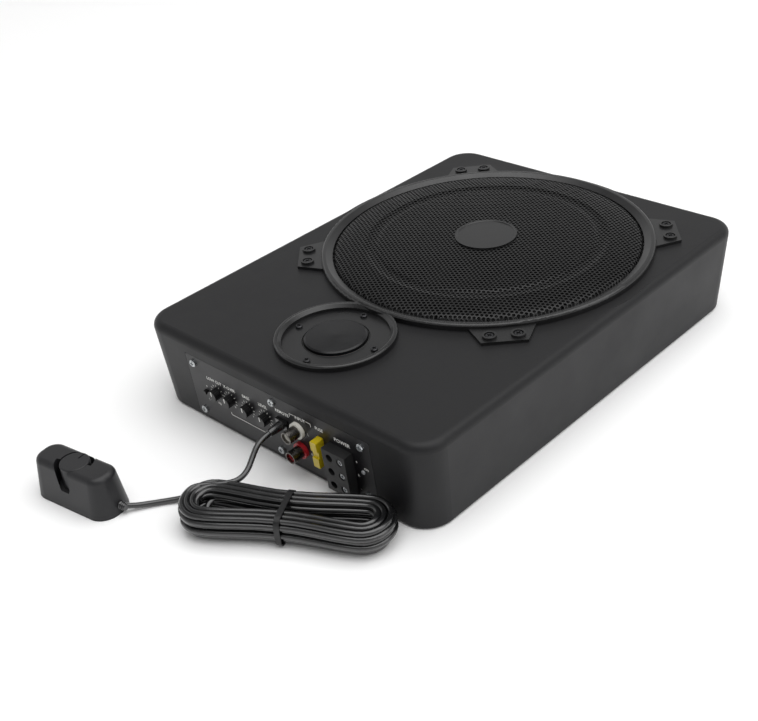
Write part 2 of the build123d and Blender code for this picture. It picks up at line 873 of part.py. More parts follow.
with BuildPart() as bezel:
    ring_section(small_ring, mid_x, mid_y, ((2, mid_ring_crest_radius), (3, mid_ring_slope_radius)))
    with BuildSketch(Plane.XY.offset(top)):
        with Locations((0, woofer_y)):
            Circle(bezel_outer_radius - bezel_land)
    extrude(amount=mid_ring_height, mode=Mode.SUBTRACT)
    ring_section(main_ring, 0, woofer_y, ((2, bezel_crest_radius), (3, bezel_slope_radius)))
    for angle in lug_angles:
        lug_plane = Plane(
            origin=(0, woofer_y, top),
            x_dir=(math.cos(math.radians(angle)), math.sin(math.radians(angle)), 0),
            z_dir=(0, 0, 1),
        )
        lug_root = bezel_outer_radius - bezel_land
        with BuildSketch(lug_plane):
            with BuildLine():
                Polyline(
                    (lug_root, -lug_half_base),
                    (lug_reach, -lug_half_tip),
                    (lug_reach, lug_half_tip),
                    (lug_root, lug_half_base),
                    close=True,
                )
            make_face()
        extrude(amount=lug_height)
    with BuildSketch(Plane.XY.offset(top)):
        with Locations(*bezel_screw_points):
            Circle(lug_boss_radius)
    extrude(amount=lug_boss_height)
    with BuildSketch(Plane.XY.offset(top + lug_boss_height)):
        with Locations(*bezel_screw_points):
            Circle(bezel_head_radius + hole_gap)
    extrude(amount=-bezel_counterbore, mode=Mode.SUBTRACT)
    with BuildSketch(Plane.XY.offset(top)):
        with Locations(*bezel_screw_points):
            Circle(bezel_screw_radius + hole_gap)
    extrude(amount=lug_boss_height, mode=Mode.SUBTRACT)
finish(bezel, "bezel")

screws(
    "bezel_screws",
    Plane.XY.offset(top + lug_boss_height - bezel_counterbore),
    bezel_screw_points,
    bezel_head_radius,
    bezel_head_height,
    bezel_screw_radius,
    bezel_screw_length,
)

grille_edge = woofer_flange_radius + flange_gap
groove_rise = grille_rise - 2.2
grille_top = [
    (grille_edge + grille_thickness, top + grille_thickness),
    (grille_edge, top + grille_rise - 4.5),
    (grille_edge - 3.4, top + grille_rise - 3.5),
    (grille_edge - 10.4, top + grille_rise - 2.5),
    (groove_outer_radius, top + grille_rise - 1.5),
    (groove_outer_radius - groove_side, top + groove_rise),
    (groove_inner_radius + groove_side, top + groove_rise),
    (groove_inner_radius, top + grille_rise - 1.3),
    (50.0, top + grille_rise - 0.5),
    (badge_radius + 0.5, top + grille_rise),
    (0.0, top + grille_rise),
]
grille_under = [(radius, height - grille_thickness) for radius, height in reversed(grille_top)]
grille_flange = [(grille_flange_radius, top), (grille_flange_radius, top + grille_thickness)]
turned("grille", 0, woofer_y, grille_top + grille_under + grille_flange)
turned(
    "grille_badge",
    0,
    woofer_y,
    [
        (0, top + grille_rise),
        (badge_radius, top + grille_rise),
        (badge_radius, top + grille_rise + badge_thickness),
        (badge_radius - badge_rim, top + grille_rise + badge_thickness),
        (badge_radius - badge_rim - badge_sink, top + grille_rise + badge_thickness - badge_sink),
        (0, top + grille_rise + badge_thickness - badge_sink),
    ],
)

# ---- midrange unit ---------------------------------------------------------------------------
plate_top = top - running_gap
can_bottom = top - mid_can_depth
cup_top = can_bottom + mid_can_wall
mid_faceplate_profile = [
    (mid_throat_radius, plate_top),
    (mid_plate_radius, plate_top),
    (mid_plate_radius, top - mid_plate_thickness),
    (mid_can_radius, top - mid_plate_thickness),
    (mid_can_radius, can_bottom),
    (mid_cup_radius + snug_gap, can_bottom),
    (mid_cup_radius + snug_gap, cup_top),
    (mid_can_radius - mid_can_wall, cup_top),
    (mid_can_radius - mid_can_wall, top - mid_plate_thickness),
    (mid_throat_radius, top - mid_plate_thickness),
]
with BuildPart() as mid_faceplate:
    with BuildSketch(radial_plane(mid_x, mid_y)):
        with BuildLine():
            Polyline(*mid_faceplate_profile, close=True)
        make_face()
    revolve(axis=Axis((mid_x, mid_y, 0), (0, 0, 1)))
    with BuildSketch(Plane.XY.offset(top - mid_plate_thickness)):
        with Locations(*mid_screw_points):
            Circle(mid_screw_radius + hole_gap)
    extrude(amount=mid_plate_thickness, mode=Mode.SUBTRACT)
finish(mid_faceplate, "mid_faceplate")

screws(
    "mid_screws",
    Plane.XY.offset(plate_top),
    mid_screw_points,
    mid_head_radius,
    mid_head_height,
    mid_screw_radius,
    mid_screw_length,
)

dome_edge_z = top - mid_dome_sink
dome_shoulder_z = dome_edge_z + mid_dome_rise
dome_inner_radius = mid_dome_radius - mid_dome_thickness
turned(
    "mid_dome",
    mid_x,
    mid_y,
    [
        (mid_dome_radius, dome_edge_z),
        (mid_dome_radius, dome_shoulder_z - mid_dome_bevel / 2),
        (mid_dome_radius - mid_dome_bevel, dome_shoulder_z),
        (0, dome_shoulder_z + mid_dome_crown),
        (0, dome_shoulder_z + mid_dome_crown - mid_dome_thickness),
        (dome_inner_radius - mid_dome_bevel, dome_shoulder_z - mid_dome_thickness),
        (dome_inner_radius, dome_shoulder_z - mid_dome_thickness - mid_dome_bevel / 2),
        (dome_inner_radius, dome_edge_z),
    ],
)
roll_inside = mid_dome_radius + snug_gap
roll_outside = mid_throat_radius - snug_gap
turned(
    "mid_surround",
    mid_x,
    mid_y,
    [
        (roll_inside, dome_edge_z - mid_roll_rise / 2),
        ((roll_inside + roll_outside) / 2, dome_edge_z + mid_roll_rise / 2),
        (roll_outside, dome_edge_z - mid_roll_rise / 2),
        (roll_outside, dome_edge_z - mid_roll_rise / 2 - mid_roll_thickness),
        (roll_inside, dome_edge_z - mid_roll_rise / 2 - mid_roll_thickness),
    ],
)
coil_top = dome_shoulder_z - mid_dome_thickness - snug_gap
turned(
    "mid_coil",
    mid_x,
    mid_y,
    [
        (mid_coil_radius - mid_coil_thickness, cup_top - mid_coil_depth),
        (mid_coil_radius, cup_top - mid_coil_depth),
        (mid_coil_radius, coil_top),
        (mid_coil_radius - mid_coil_thickness, coil_top),
    ],
)
cup_bottom = cup_top - mid_cup_depth
cup_floor_z = cup_bottom + mid_cup_floor
turned(
    "mid_cup",
    mid_x,
    mid_y,
    [
        (0, cup_bottom),
        (mid_cup_radius, cup_bottom),
        (mid_cup_radius, cup_top),
        (mid_coil_radius + mid_coil_gap, cup_top),
        (mid_coil_radius + mid_coil_gap, cup_floor_z),
        (0, cup_floor_z),
    ],
)
pole_plate_radius = mid_coil_radius - mid_coil_thickness - mid_coil_gap + running_gap
turned(
    "mid_magnet",
    mid_x,
    mid_y,
    [
        (0, cup_floor_z),
        (pole_plate_radius - mid_plate_overhang, cup_floor_z),
        (pole_plate_radius - mid_plate_overhang, cup_top - mid_cup_floor),
        (pole_plate_radius, cup_top - mid_cup_floor),
        (pole_plate_radius, cup_top),
        (0, cup_top),
    ],
)

# ---- control panel ---------------------------------------------------------------------------
behind = -panel_thickness - snug_gap
board_front = -board_depth + snug_gap
panel_axis = Axis(panel_plane().origin, panel_plane().z_dir)
switch_slot = switch_travel + switch_slot_extra
fuse_slot_thickness = fuse_body_thickness + 2 * hole_gap
fuse_slot_width = fuse_width + 2 * hole_gap
jack_opening = (plug_width + 2 * snug_gap, plug_height + 2 * snug_gap)

with BuildPart() as control_panel:
    with BuildSketch(panel_plane()):
        Rectangle(panel_width, panel_height)
    extrude(amount=-panel_thickness)
    fillet(control_panel.edges().filter_by(panel_axis), panel_corner_radius)
    for place in panel_screw_places:
        panel_round(*place, panel_screw_radius + hole_gap, 0, -panel_thickness, Mode.SUBTRACT)
    for knob_x in knob_xs:
        panel_round(knob_x, knob_z, shaft_radius + hole_gap, 0, -panel_thickness, Mode.SUBTRACT)
    for rca_z in rca_zs:
        panel_round(rca_x, rca_z, rca_root_radius + snug_gap, 0, -panel_thickness, Mode.SUBTRACT)
    panel_round(led_x, led_z, led_radius + snug_gap, 0, -panel_thickness, Mode.SUBTRACT)
    panel_box(
        switch_x, switch_z, switch_slot, switch_slot_height, 0, -panel_thickness, Mode.SUBTRACT
    )
    panel_box(jack_x, jack_z, *jack_opening, 0, -panel_thickness, Mode.SUBTRACT)
    panel_box(
        fuse_x, fuse_z, fuse_slot_thickness, fuse_slot_width, 0, -panel_thickness, Mode.SUBTRACT
    )
    panel_box(
        terminal_x,
        terminal_z,
        terminal_width - 2 * terminal_rim + 2 * hole_gap,
        terminal_height - 2 * terminal_rim + 2 * hole_gap,
        0,
        -panel_thickness,
        Mode.SUBTRACT,
    )
finish(control_panel, "control_panel")

screws(
    "panel_screws",
    panel_plane(),
    [on_panel(*place) for place in panel_screw_places],
    panel_head_radius,
    panel_head_height,
    panel_screw_radius,
    panel_screw_length,
)

with BuildPart() as control_board:
    panel_box(*board_centre, *board_size, -board_depth, -board_depth - board_thickness)
finish(control_board, "control_board")

with BuildPart() as control_pots:
    for knob_x in knob_xs:
        panel_box(knob_x, knob_z, pot_size, pot_size, behind, board_front)
        panel_round(
            knob_x, knob_z, shaft_radius + running_gap, behind, -shaft_depth - blind_floor, Mode.SUBTRACT
        )
finish(control_pots, "control_pots")

for knob_name, knob_x in zip(knob_names, knob_xs):
    with BuildPart() as knob:
        panel_round(knob_x, knob_z, knob_radius, knob_reach, hole_gap)
        panel_round(knob_x, knob_z, shaft_radius, hole_gap, -shaft_depth)
        with BuildSketch(panel_plane(hole_gap)):
            with Locations(on_panel(knob_x, knob_z)):
                with PolarLocations(knob_radius + flute_radius / 3, flute_count):
                    Circle(flute_radius)
        extrude(amount=knob_reach - hole_gap, mode=Mode.SUBTRACT)
        with BuildSketch(panel_plane(knob_reach - pointer_depth)):
            with Locations(on_panel(knob_x, knob_z)):
                with Locations((0, knob_radius / 2)):
                    Rectangle(pointer_width, knob_radius)
        extrude(amount=pointer_depth, mode=Mode.SUBTRACT)
    finish(knob, knob_name)

with BuildPart() as phase_switch_case:
    panel_box(switch_x, switch_z, *switch_case, behind, board_front)
    panel_box(
        switch_x, switch_z, switch_slot, switch_slot_height, behind, -switch_floor, Mode.SUBTRACT
    )
finish(phase_switch_case, "phase_switch_case")
with BuildPart() as phase_switch_slider:
    lever_x = switch_x - switch_travel / 2
    panel_box(lever_x, switch_z, *switch_lever, switch_lever_reach, -switch_lever_root)
finish(phase_switch_slider, "phase_switch_slider")

with BuildPart() as remote_jack:
    panel_box(jack_x, jack_z, *jack_case, behind, board_front)
    panel_box(jack_x, jack_z, *jack_opening, behind, -plug_depth - blind_floor, Mode.SUBTRACT)
finish(remote_jack, "remote_jack")

for rca_name, rca_z in zip(("rca_white", "rca_red"), rca_zs):
    with BuildPart() as rca:
        with BuildSketch(panel_plane(snug_gap)):
            with Locations(on_panel(rca_x, rca_z)):
                Circle(rca_collar_radius)
                Circle(rca_root_radius + running_gap, mode=Mode.SUBTRACT)
        extrude(amount=rca_collar_reach - snug_gap)
        with BuildSketch(panel_plane(behind)):
            with Locations(on_panel(rca_x, rca_z)):
                Circle(rca_radius - rca_wall - running_gap)
                Circle(rca_pin_hole_radius, mode=Mode.SUBTRACT)
        extrude(amount=rca_reach - rca_mouth_depth - behind)
    finish(rca, rca_name)
with BuildPart() as rca_barrels:
    for rca_z in rca_zs:
        panel_round(rca_x, rca_z, rca_root_radius, rca_root_reach, board_front)
        panel_round(rca_x, rca_z, rca_radius, rca_reach, rca_root_reach)
        panel_round(rca_x, rca_z, rca_radius - rca_wall, rca_reach, board_front, Mode.SUBTRACT)
finish(rca_barrels, "rca_barrels")

fuse_pocket = -fuse_body_height + fuse_reach
with BuildPart() as fuse_holder:
    holder_thickness = fuse_slot_thickness + 2 * holder_wall
    holder_width = fuse_slot_width + 2 * holder_wall
    panel_box(fuse_x, fuse_z, holder_thickness, holder_width, behind, board_front)
    panel_box(
        fuse_x,
        fuse_z,
        fuse_slot_thickness,
        fuse_slot_width,
        behind,
        fuse_pocket - hole_gap,
        Mode.SUBTRACT,
    )
    for side in (-1, 1):
        panel_box(
            fuse_x,
            fuse_z + side * fuse_blade_offset,
            fuse_blade_thickness + hole_gap,
            fuse_blade_width + hole_gap,
            fuse_pocket,
            fuse_pocket - fuse_blade_length - hole_gap,
            Mode.SUBTRACT,
        )
finish(fuse_holder, "fuse_holder")
with BuildPart() as fuse_body:
    panel_box(fuse_x, fuse_z, fuse_body_thickness, fuse_width, fuse_reach, fuse_pocket)
    notch_width, notch_depth = fuse_notch
    panel_box(
        fuse_x,
        fuse_z,
        fuse_body_thickness,
        notch_width,
        fuse_reach,
        fuse_reach - notch_depth,
        Mode.SUBTRACT,
    )
    fillet(fuse_body.edges().filter_by(panel_axis).group_by(Axis.Z)[-1], fuse_corner_radius)
finish(fuse_body, "fuse_body")
with BuildPart() as fuse_blades:
    for side in (-1, 1):
        panel_box(
            fuse_x,
            fuse_z + side * fuse_blade_offset,
            fuse_blade_thickness,
            fuse_blade_width,
            fuse_pocket,
            fuse_pocket - fuse_blade_length,
        )
finish(fuse_blades, "fuse_blades")

terminal_levels = [terminal_z + step * terminal_pitch for step in (1, 0, -1)]
entry_x = terminal_x - entry_offset
clamp_screw_x = terminal_x + clamp_offset
clamp_bore_radius = clamp_screw_radius + thread_gap
clamp_bore_end = terminal_reach - clamp_counterbore - clamp_screw_length - blind_floor
with BuildPart() as power_terminal:
    panel_box(terminal_x, terminal_z, terminal_width, terminal_height, terminal_reach, snug_gap)
    panel_box(
        terminal_x,
        terminal_z,
        terminal_width - 2 * terminal_rim,
        terminal_height - 2 * terminal_rim,
        snug_gap,
        board_front,
    )
    for level in terminal_levels:
        panel_round(
            entry_x,
            level,
            wire_entry_radius,
            terminal_reach,
            terminal_reach - wire_entry_depth,
            Mode.SUBTRACT,
        )
        panel_round(
            clamp_screw_x,
            level,
            clamp_head_radius + hole_gap,
            terminal_reach,
            terminal_reach - clamp_counterbore,
            Mode.SUBTRACT,
        )
        panel_round(
            clamp_screw_x, level, clamp_bore_radius, terminal_reach, clamp_bore_end, Mode.SUBTRACT
        )
finish(power_terminal, "power_terminal")
screws(
    "terminal_screws",
    panel_plane(terminal_reach - clamp_counterbore),
    [on_panel(clamp_screw_x, level) for level in terminal_levels],
    clamp_head_radius,
    clamp_head_height,
    clamp_screw_radius,
    clamp_screw_length,
)

with BuildPart() as power_led:
    panel_round(led_x, led_z, led_radius, led_reach, -wall - led_tail)
    fillet(power_led.faces().sort_by(Axis.Y)[0].edges(), led_dome_radius)
finish(power_led, "power_led")

# ---- amplifier -------------------------------------------------------------------------------
with BuildPart() as amplifier_board:
    with BuildSketch(Plane.XY.offset(amp_board_z)):
        with Locations((0, amp_board_y)):
            Rectangle(amp_board_width, amp_board_length)
    extrude(amount=board_thickness)
finish(amplifier_board, "amplifier_board")

parts_z = amp_board_z + board_thickness
sink_y = amp_board_y + amp_board_length / 2 - heat_sink_depth / 2 - heat_sink_margin
with BuildPart() as heat_sink:
    with BuildSketch(Plane.XY.offset(parts_z)):
        with Locations((0, sink_y)):
            Rectangle(heat_sink_width, heat_sink_depth)
    extrude(amount=heat_sink_floor)
    with BuildSketch(Plane.XY.offset(parts_z + heat_sink_floor)):
        with Locations((0, sink_y)):
            with GridLocations(fin_pitch, 1, int(heat_sink_width / fin_pitch), 1):
                Rectangle(fin_thickness, heat_sink_depth)
    extrude(amount=heat_sink_height - heat_sink_floor)
finish(heat_sink, "heat_sink")

capacitor_y = sink_y - heat_sink_depth / 2 - capacitor_pitch
with BuildPart() as filter_capacitors:
    with BuildSketch(Plane.XY.offset(parts_z)):
        with Locations((capacitor_x, capacitor_y)):
            with GridLocations(capacitor_pitch, capacitor_pitch, 2, 2):
                Circle(capacitor_radius)
    extrude(amount=capacitor_height)
finish(filter_capacitors, "filter_capacitors")

with BuildPart() as supply_toroid:
    with BuildSketch(Plane.XY.offset(parts_z)):
        with Locations((toroid_x, sink_y - heat_sink_depth / 2 - toroid_margin - toroid_radius)):
            Circle(toroid_radius)
            Circle(toroid_bore, mode=Mode.SUBTRACT)
    extrude(amount=toroid_height)
    fillet(supply_toroid.edges(), toroid_edge_radius)
finish(supply_toroid, "supply_toroid")

# ---- wired remote ----------------------------------------------------------------------------
remote_plane = Plane(
    origin=(remote_x, remote_y, 0),
    x_dir=(math.cos(math.radians(remote_turn)), math.sin(math.radians(remote_turn)), 0),
    z_dir=(0, 0, 1),
)
remote_top_length = remote_length - 2 * remote_draft
remote_top_width = remote_width - 2 * remote_draft
cavity_inset = 2 * (remote_skin + remote_lip)
base_inset = cavity_inset + 2 * panel_gap


def remote_point(along, across, height):
    """A place given along and across the remote, in the frame of the whole part."""
    place = remote_plane.from_local_coords(Vector(along, across, height))
    return (place.X, place.Y, place.Z)


def knob_groove(start, end, floor):
    """Cuts a curved groove beside the remote's knob, between two angles, from a floor up."""
    inside = remote_knob_radius
    outside = remote_knob_radius + remote_well_gap + groove_width
    middle = (start + end) / 2
    with BuildSketch(remote_plane.offset(floor)) as outline:
        with BuildLine():
            Line(polar(inside, start), polar(outside, start))
            ThreePointArc(polar(outside, start), polar(outside, middle), polar(outside, end))
            Line(polar(outside, end), polar(inside, end))
            ThreePointArc(polar(inside, end), polar(inside, middle), polar(inside, start))
        make_face()
    extrude(outline.sketch, amount=remote_height, mode=Mode.SUBTRACT)


with BuildPart() as remote_housing:
    with BuildSketch(remote_plane):
        RectangleRounded(remote_length, remote_width, remote_corner)
    with BuildSketch(remote_plane.offset(remote_height)):
        RectangleRounded(remote_top_length, remote_top_width, remote_corner - remote_draft)
    loft()
    fillet(remote_housing.faces().sort_by(Axis.Z)[-1].edges(), remote_edge_radius)
    # the knob's well, and the finger groove and the notch beside it that open through the flanks
    with BuildSketch(remote_plane.offset(remote_well_floor)):
        Circle(remote_knob_radius + remote_well_gap)
    extrude(amount=remote_height, mode=Mode.SUBTRACT)
    knob_groove(groove_start, groove_end, remote_well_floor)
    knob_groove(notch_start, notch_end, notch_floor)
    # the space for the potentiometer, closed by the base
    with BuildSketch(remote_plane):
        RectangleRounded(
            remote_length - cavity_inset, remote_width - cavity_inset, remote_corner - cavity_inset / 2
        )
    extrude(amount=remote_cavity_height, mode=Mode.SUBTRACT)
    with BuildSketch(remote_plane):
        Circle(shaft_radius + hole_gap)
    extrude(amount=remote_well_floor, mode=Mode.SUBTRACT)
finish(remote_housing, "remote_housing")

with BuildPart() as remote_base:
    with BuildSketch(remote_plane):
        RectangleRounded(
            remote_length - base_inset, remote_width - base_inset, remote_corner - base_inset / 2
        )
    extrude(amount=remote_skin)
finish(remote_base, "remote_base")

with BuildPart() as remote_knob:
    with BuildSketch(remote_plane.offset(remote_well_floor + hole_gap)):
        Circle(remote_knob_radius)
    extrude(amount=remote_height - remote_well_floor - hole_gap)
    fillet(remote_knob.faces().sort_by(Axis.Z)[-1].edges(), remote_knob_edge)
    with BuildSketch(remote_plane.offset(remote_height - pointer_depth)):
        with Locations((0, remote_knob_radius * 0.6)):
            Rectangle(remote_pointer_width, remote_knob_radius / 2)
    extrude(amount=pointer_depth, mode=Mode.SUBTRACT)
    with BuildSketch(remote_plane.offset(remote_well_floor + hole_gap)):
        Circle(shaft_radius)
    extrude(amount=-remote_shaft_length)
finish(remote_knob, "remote_knob")

with BuildPart() as remote_pot:
    with BuildSketch(remote_plane.offset(remote_skin + snug_gap)):
        Circle(remote_pot_radius)
    extrude(amount=remote_cavity_height - remote_skin - 2 * snug_gap)
    with BuildSketch(remote_plane.offset(remote_cavity_height)):
        Circle(shaft_radius + running_gap)
    extrude(amount=-remote_shaft_length, mode=Mode.SUBTRACT)
finish(remote_pot, "remote_pot")

# ---- cord ------------------------------------------------------------------------------------
plug_front = panel_plane(plug_reach)
plug_exit = plug_front.from_local_coords(Vector(*on_panel(jack_x, jack_z), 0))
remote_end = remote_length / 2 - remote_draft * remote_exit_z / remote_height
remote_exit = remote_point(remote_end, remote_exit_side, remote_exit_z)

with BuildPart() as remote_plug:
    panel_box(jack_x, jack_z, plug_width, plug_height, plug_shoulder, -plug_depth)
    with BuildSketch(panel_plane(plug_shoulder)):
        with Locations(on_panel(jack_x, jack_z)):
            Circle(boot_radius)
    with BuildSketch(panel_plane(plug_reach)):
        with Locations(on_panel(jack_x, jack_z)):
            Circle(boot_end_radius)
    loft()
finish(remote_plug, "remote_plug")


def cord_tube(label, points, ends):
    """A round cord along straight runs joined by arcs as large as the runs allow."""
    route = [Vector(*point) for point in points]
    runs = [(after - before).length for before, after in zip(route, route[1:])]
    radii = []
    for index in range(1, len(route) - 1):
        turn = (route[index] - route[index - 1]).get_angle(route[index + 1] - route[index])
        half_turn = math.radians(turn / 2)
        radii.append(0.45 * min(runs[index - 1], runs[index]) / math.tan(half_turn))
    with BuildPart() as tube:
        with BuildLine() as path:
            FilletPolyline(*route, radius=radii)
        line = path.wires()[0]
        start = Plane(origin=line @ 0, z_dir=line % 0)
        with BuildSketch(start):
            Circle(cord_diameter / 2)
        sweep(path=line)
    finish(tube, label)
    length = line.length
    expected = math.pi * cord_diameter**2 / 4 * length
    ratio = tube.part.volume / expected
    print(label, "runs", [round(run, 1) for run in runs])
    print(label, "radii", [round(radius, 1) for radius in radii])
    print(label, "length", round(length, 1), "volume ratio", round(ratio, 4), ends)


cord_tube("plug_cord", [tuple(plug_exit), *plug_route], "plug to hank")
cord_tube("remote_cord", [remote_exit, *remote_route], "remote to hank")

hank_axis = Vector(*hank_right) - Vector(*hank_left)
hank_middle = (Vector(*hank_right) + Vector(*hank_left)) * 0.5
hank_plane = Plane(
    origin=(hank_middle.X, hank_middle.Y, hank_bottom), x_dir=hank_axis.normalized(), z_dir=(0, 0, 1)
)
hank_half = hank_axis.length / 2
with BuildPart() as cord_hank:
    with BuildSketch(hank_plane) as hank_outline:
        with Locations((-hank_half, 0)):
            Circle(hank_left_radius)
        with Locations((hank_half, 0)):
            Circle(hank_right_radius)
        Rectangle(2 * hank_half, hank_waist)
        waist_corners = hank_outline.vertices().filter_by(
            lambda corner: abs(abs(corner.Y) - hank_waist / 2) < hole_gap
        )
        fillet(waist_corners, hank_blend)
    extrude(amount=hank_top - hank_bottom)
    fillet(cord_hank.faces().sort_by(Axis.Z)[-1].edges(), hank_round)
    fillet(cord_hank.faces().sort_by(Axis.Z)[0].edges(), hank_round)
finish(cord_hank, "cord_hank")

tie_plane = Plane(
    origin=(hank_middle.X, hank_middle.Y, (hank_bottom + hank_top) / 2),
    x_dir=(-hank_plane.x_dir.Y, hank_plane.x_dir.X, 0),
    z_dir=hank_plane.x_dir,
)
hank_thickness = hank_top - hank_bottom
with BuildPart() as cord_tie:
    with BuildSketch(tie_plane):
        RectangleRounded(
            hank_waist + 2 * (tie_thickness + snug_gap),
            hank_thickness + 2 * (tie_thickness + snug_gap),
            hank_round + tie_thickness,
        )
        RectangleRounded(
            hank_waist + 2 * snug_gap,
            hank_thickness + 2 * snug_gap,
            hank_round + snug_gap,
            mode=Mode.SUBTRACT,
        )
    extrude(amount=tie_width / 2, both=True)
finish(cord_tie, "cord_tie")
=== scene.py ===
"""A flat powered car subwoofer for under a seat, with its wired level remote, in a pale studio."""
import logging
import math
import random
from dataclasses import dataclass, field
from enum import Enum

import bmesh
import bpy
from mathutils import Matrix, Vector


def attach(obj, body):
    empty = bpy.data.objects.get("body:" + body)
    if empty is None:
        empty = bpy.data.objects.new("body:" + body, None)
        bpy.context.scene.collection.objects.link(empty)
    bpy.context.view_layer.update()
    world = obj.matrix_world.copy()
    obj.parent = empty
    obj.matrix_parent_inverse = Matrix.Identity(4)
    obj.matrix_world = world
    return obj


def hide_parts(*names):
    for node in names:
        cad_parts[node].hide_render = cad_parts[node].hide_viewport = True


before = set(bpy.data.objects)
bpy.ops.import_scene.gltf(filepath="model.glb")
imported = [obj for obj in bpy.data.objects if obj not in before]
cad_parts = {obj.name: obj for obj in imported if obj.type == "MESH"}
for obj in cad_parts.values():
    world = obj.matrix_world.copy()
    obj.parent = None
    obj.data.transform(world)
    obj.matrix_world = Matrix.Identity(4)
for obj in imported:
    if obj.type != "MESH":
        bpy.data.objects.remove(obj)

log = logging.getLogger("subwoofer")
MM = 0.001
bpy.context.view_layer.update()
# A wave texture repeats every 0.314 units at scale 1.
WAVE_PERIOD = 0.314
BUMP_STRENGTH = 0.8
# With no second colour, the cloud lightens the first one by these.
CLOUD_GAIN = 1.35
CLOUD_LIFT = 0.002
DUST_COLOUR = "#8c8a86"
DUST_SPECKS_PER_METRE = 900.0


def linear(hex_colour: str) -> tuple[float, float, float, float]:
    """Turns an sRGB hex colour to linear light.

    Args:
        hex_colour: six hex digits after a hash sign.

    Returns:
        Red, green, blue and an alpha of 1.
    """
    parts = [int(hex_colour[place : place + 2], 16) / 255 for place in (1, 3, 5)]
    light = [c / 12.92 if c <= 0.04045 else ((c + 0.055) / 1.055) ** 2.4 for c in parts]
    return (light[0], light[1], light[2], 1.0)


def add_node(
    tree: bpy.types.NodeTree, kind: str, settings: dict | None = None, links: dict | None = None
) -> bpy.types.Node:
    """Adds one node to a tree.

    Args:
        tree: the tree that gets the node.
        kind: the node's type name.
        settings: the node's own properties.
        links: for each input, by name or number, a value or another node's output.

    Returns:
        The new node.
    """
    node = tree.nodes.new(kind)
    for name, value in (settings or {}).items():
        setattr(node, name, value)
    for key, value in (links or {}).items():
        if isinstance(value, bpy.types.NodeSocket):
            tree.links.new(value, node.inputs[key])
        else:
            node.inputs[key].default_value = value
    return node


class Grain(Enum):
    """How the fine relief of a surface is drawn."""

    PEEL = "soft rounded bumps, as of powder coat and leathery moulding"
    SPECKLE = "separate pits, as of spark-textured moulding, foam and ferrite"
    DRAWN = "long fine lines, as of drawn, extruded and brushed metal"
    WOVEN = "threads over and under, as of cloth"
    WOUND = "close round turns, as of a wire winding"


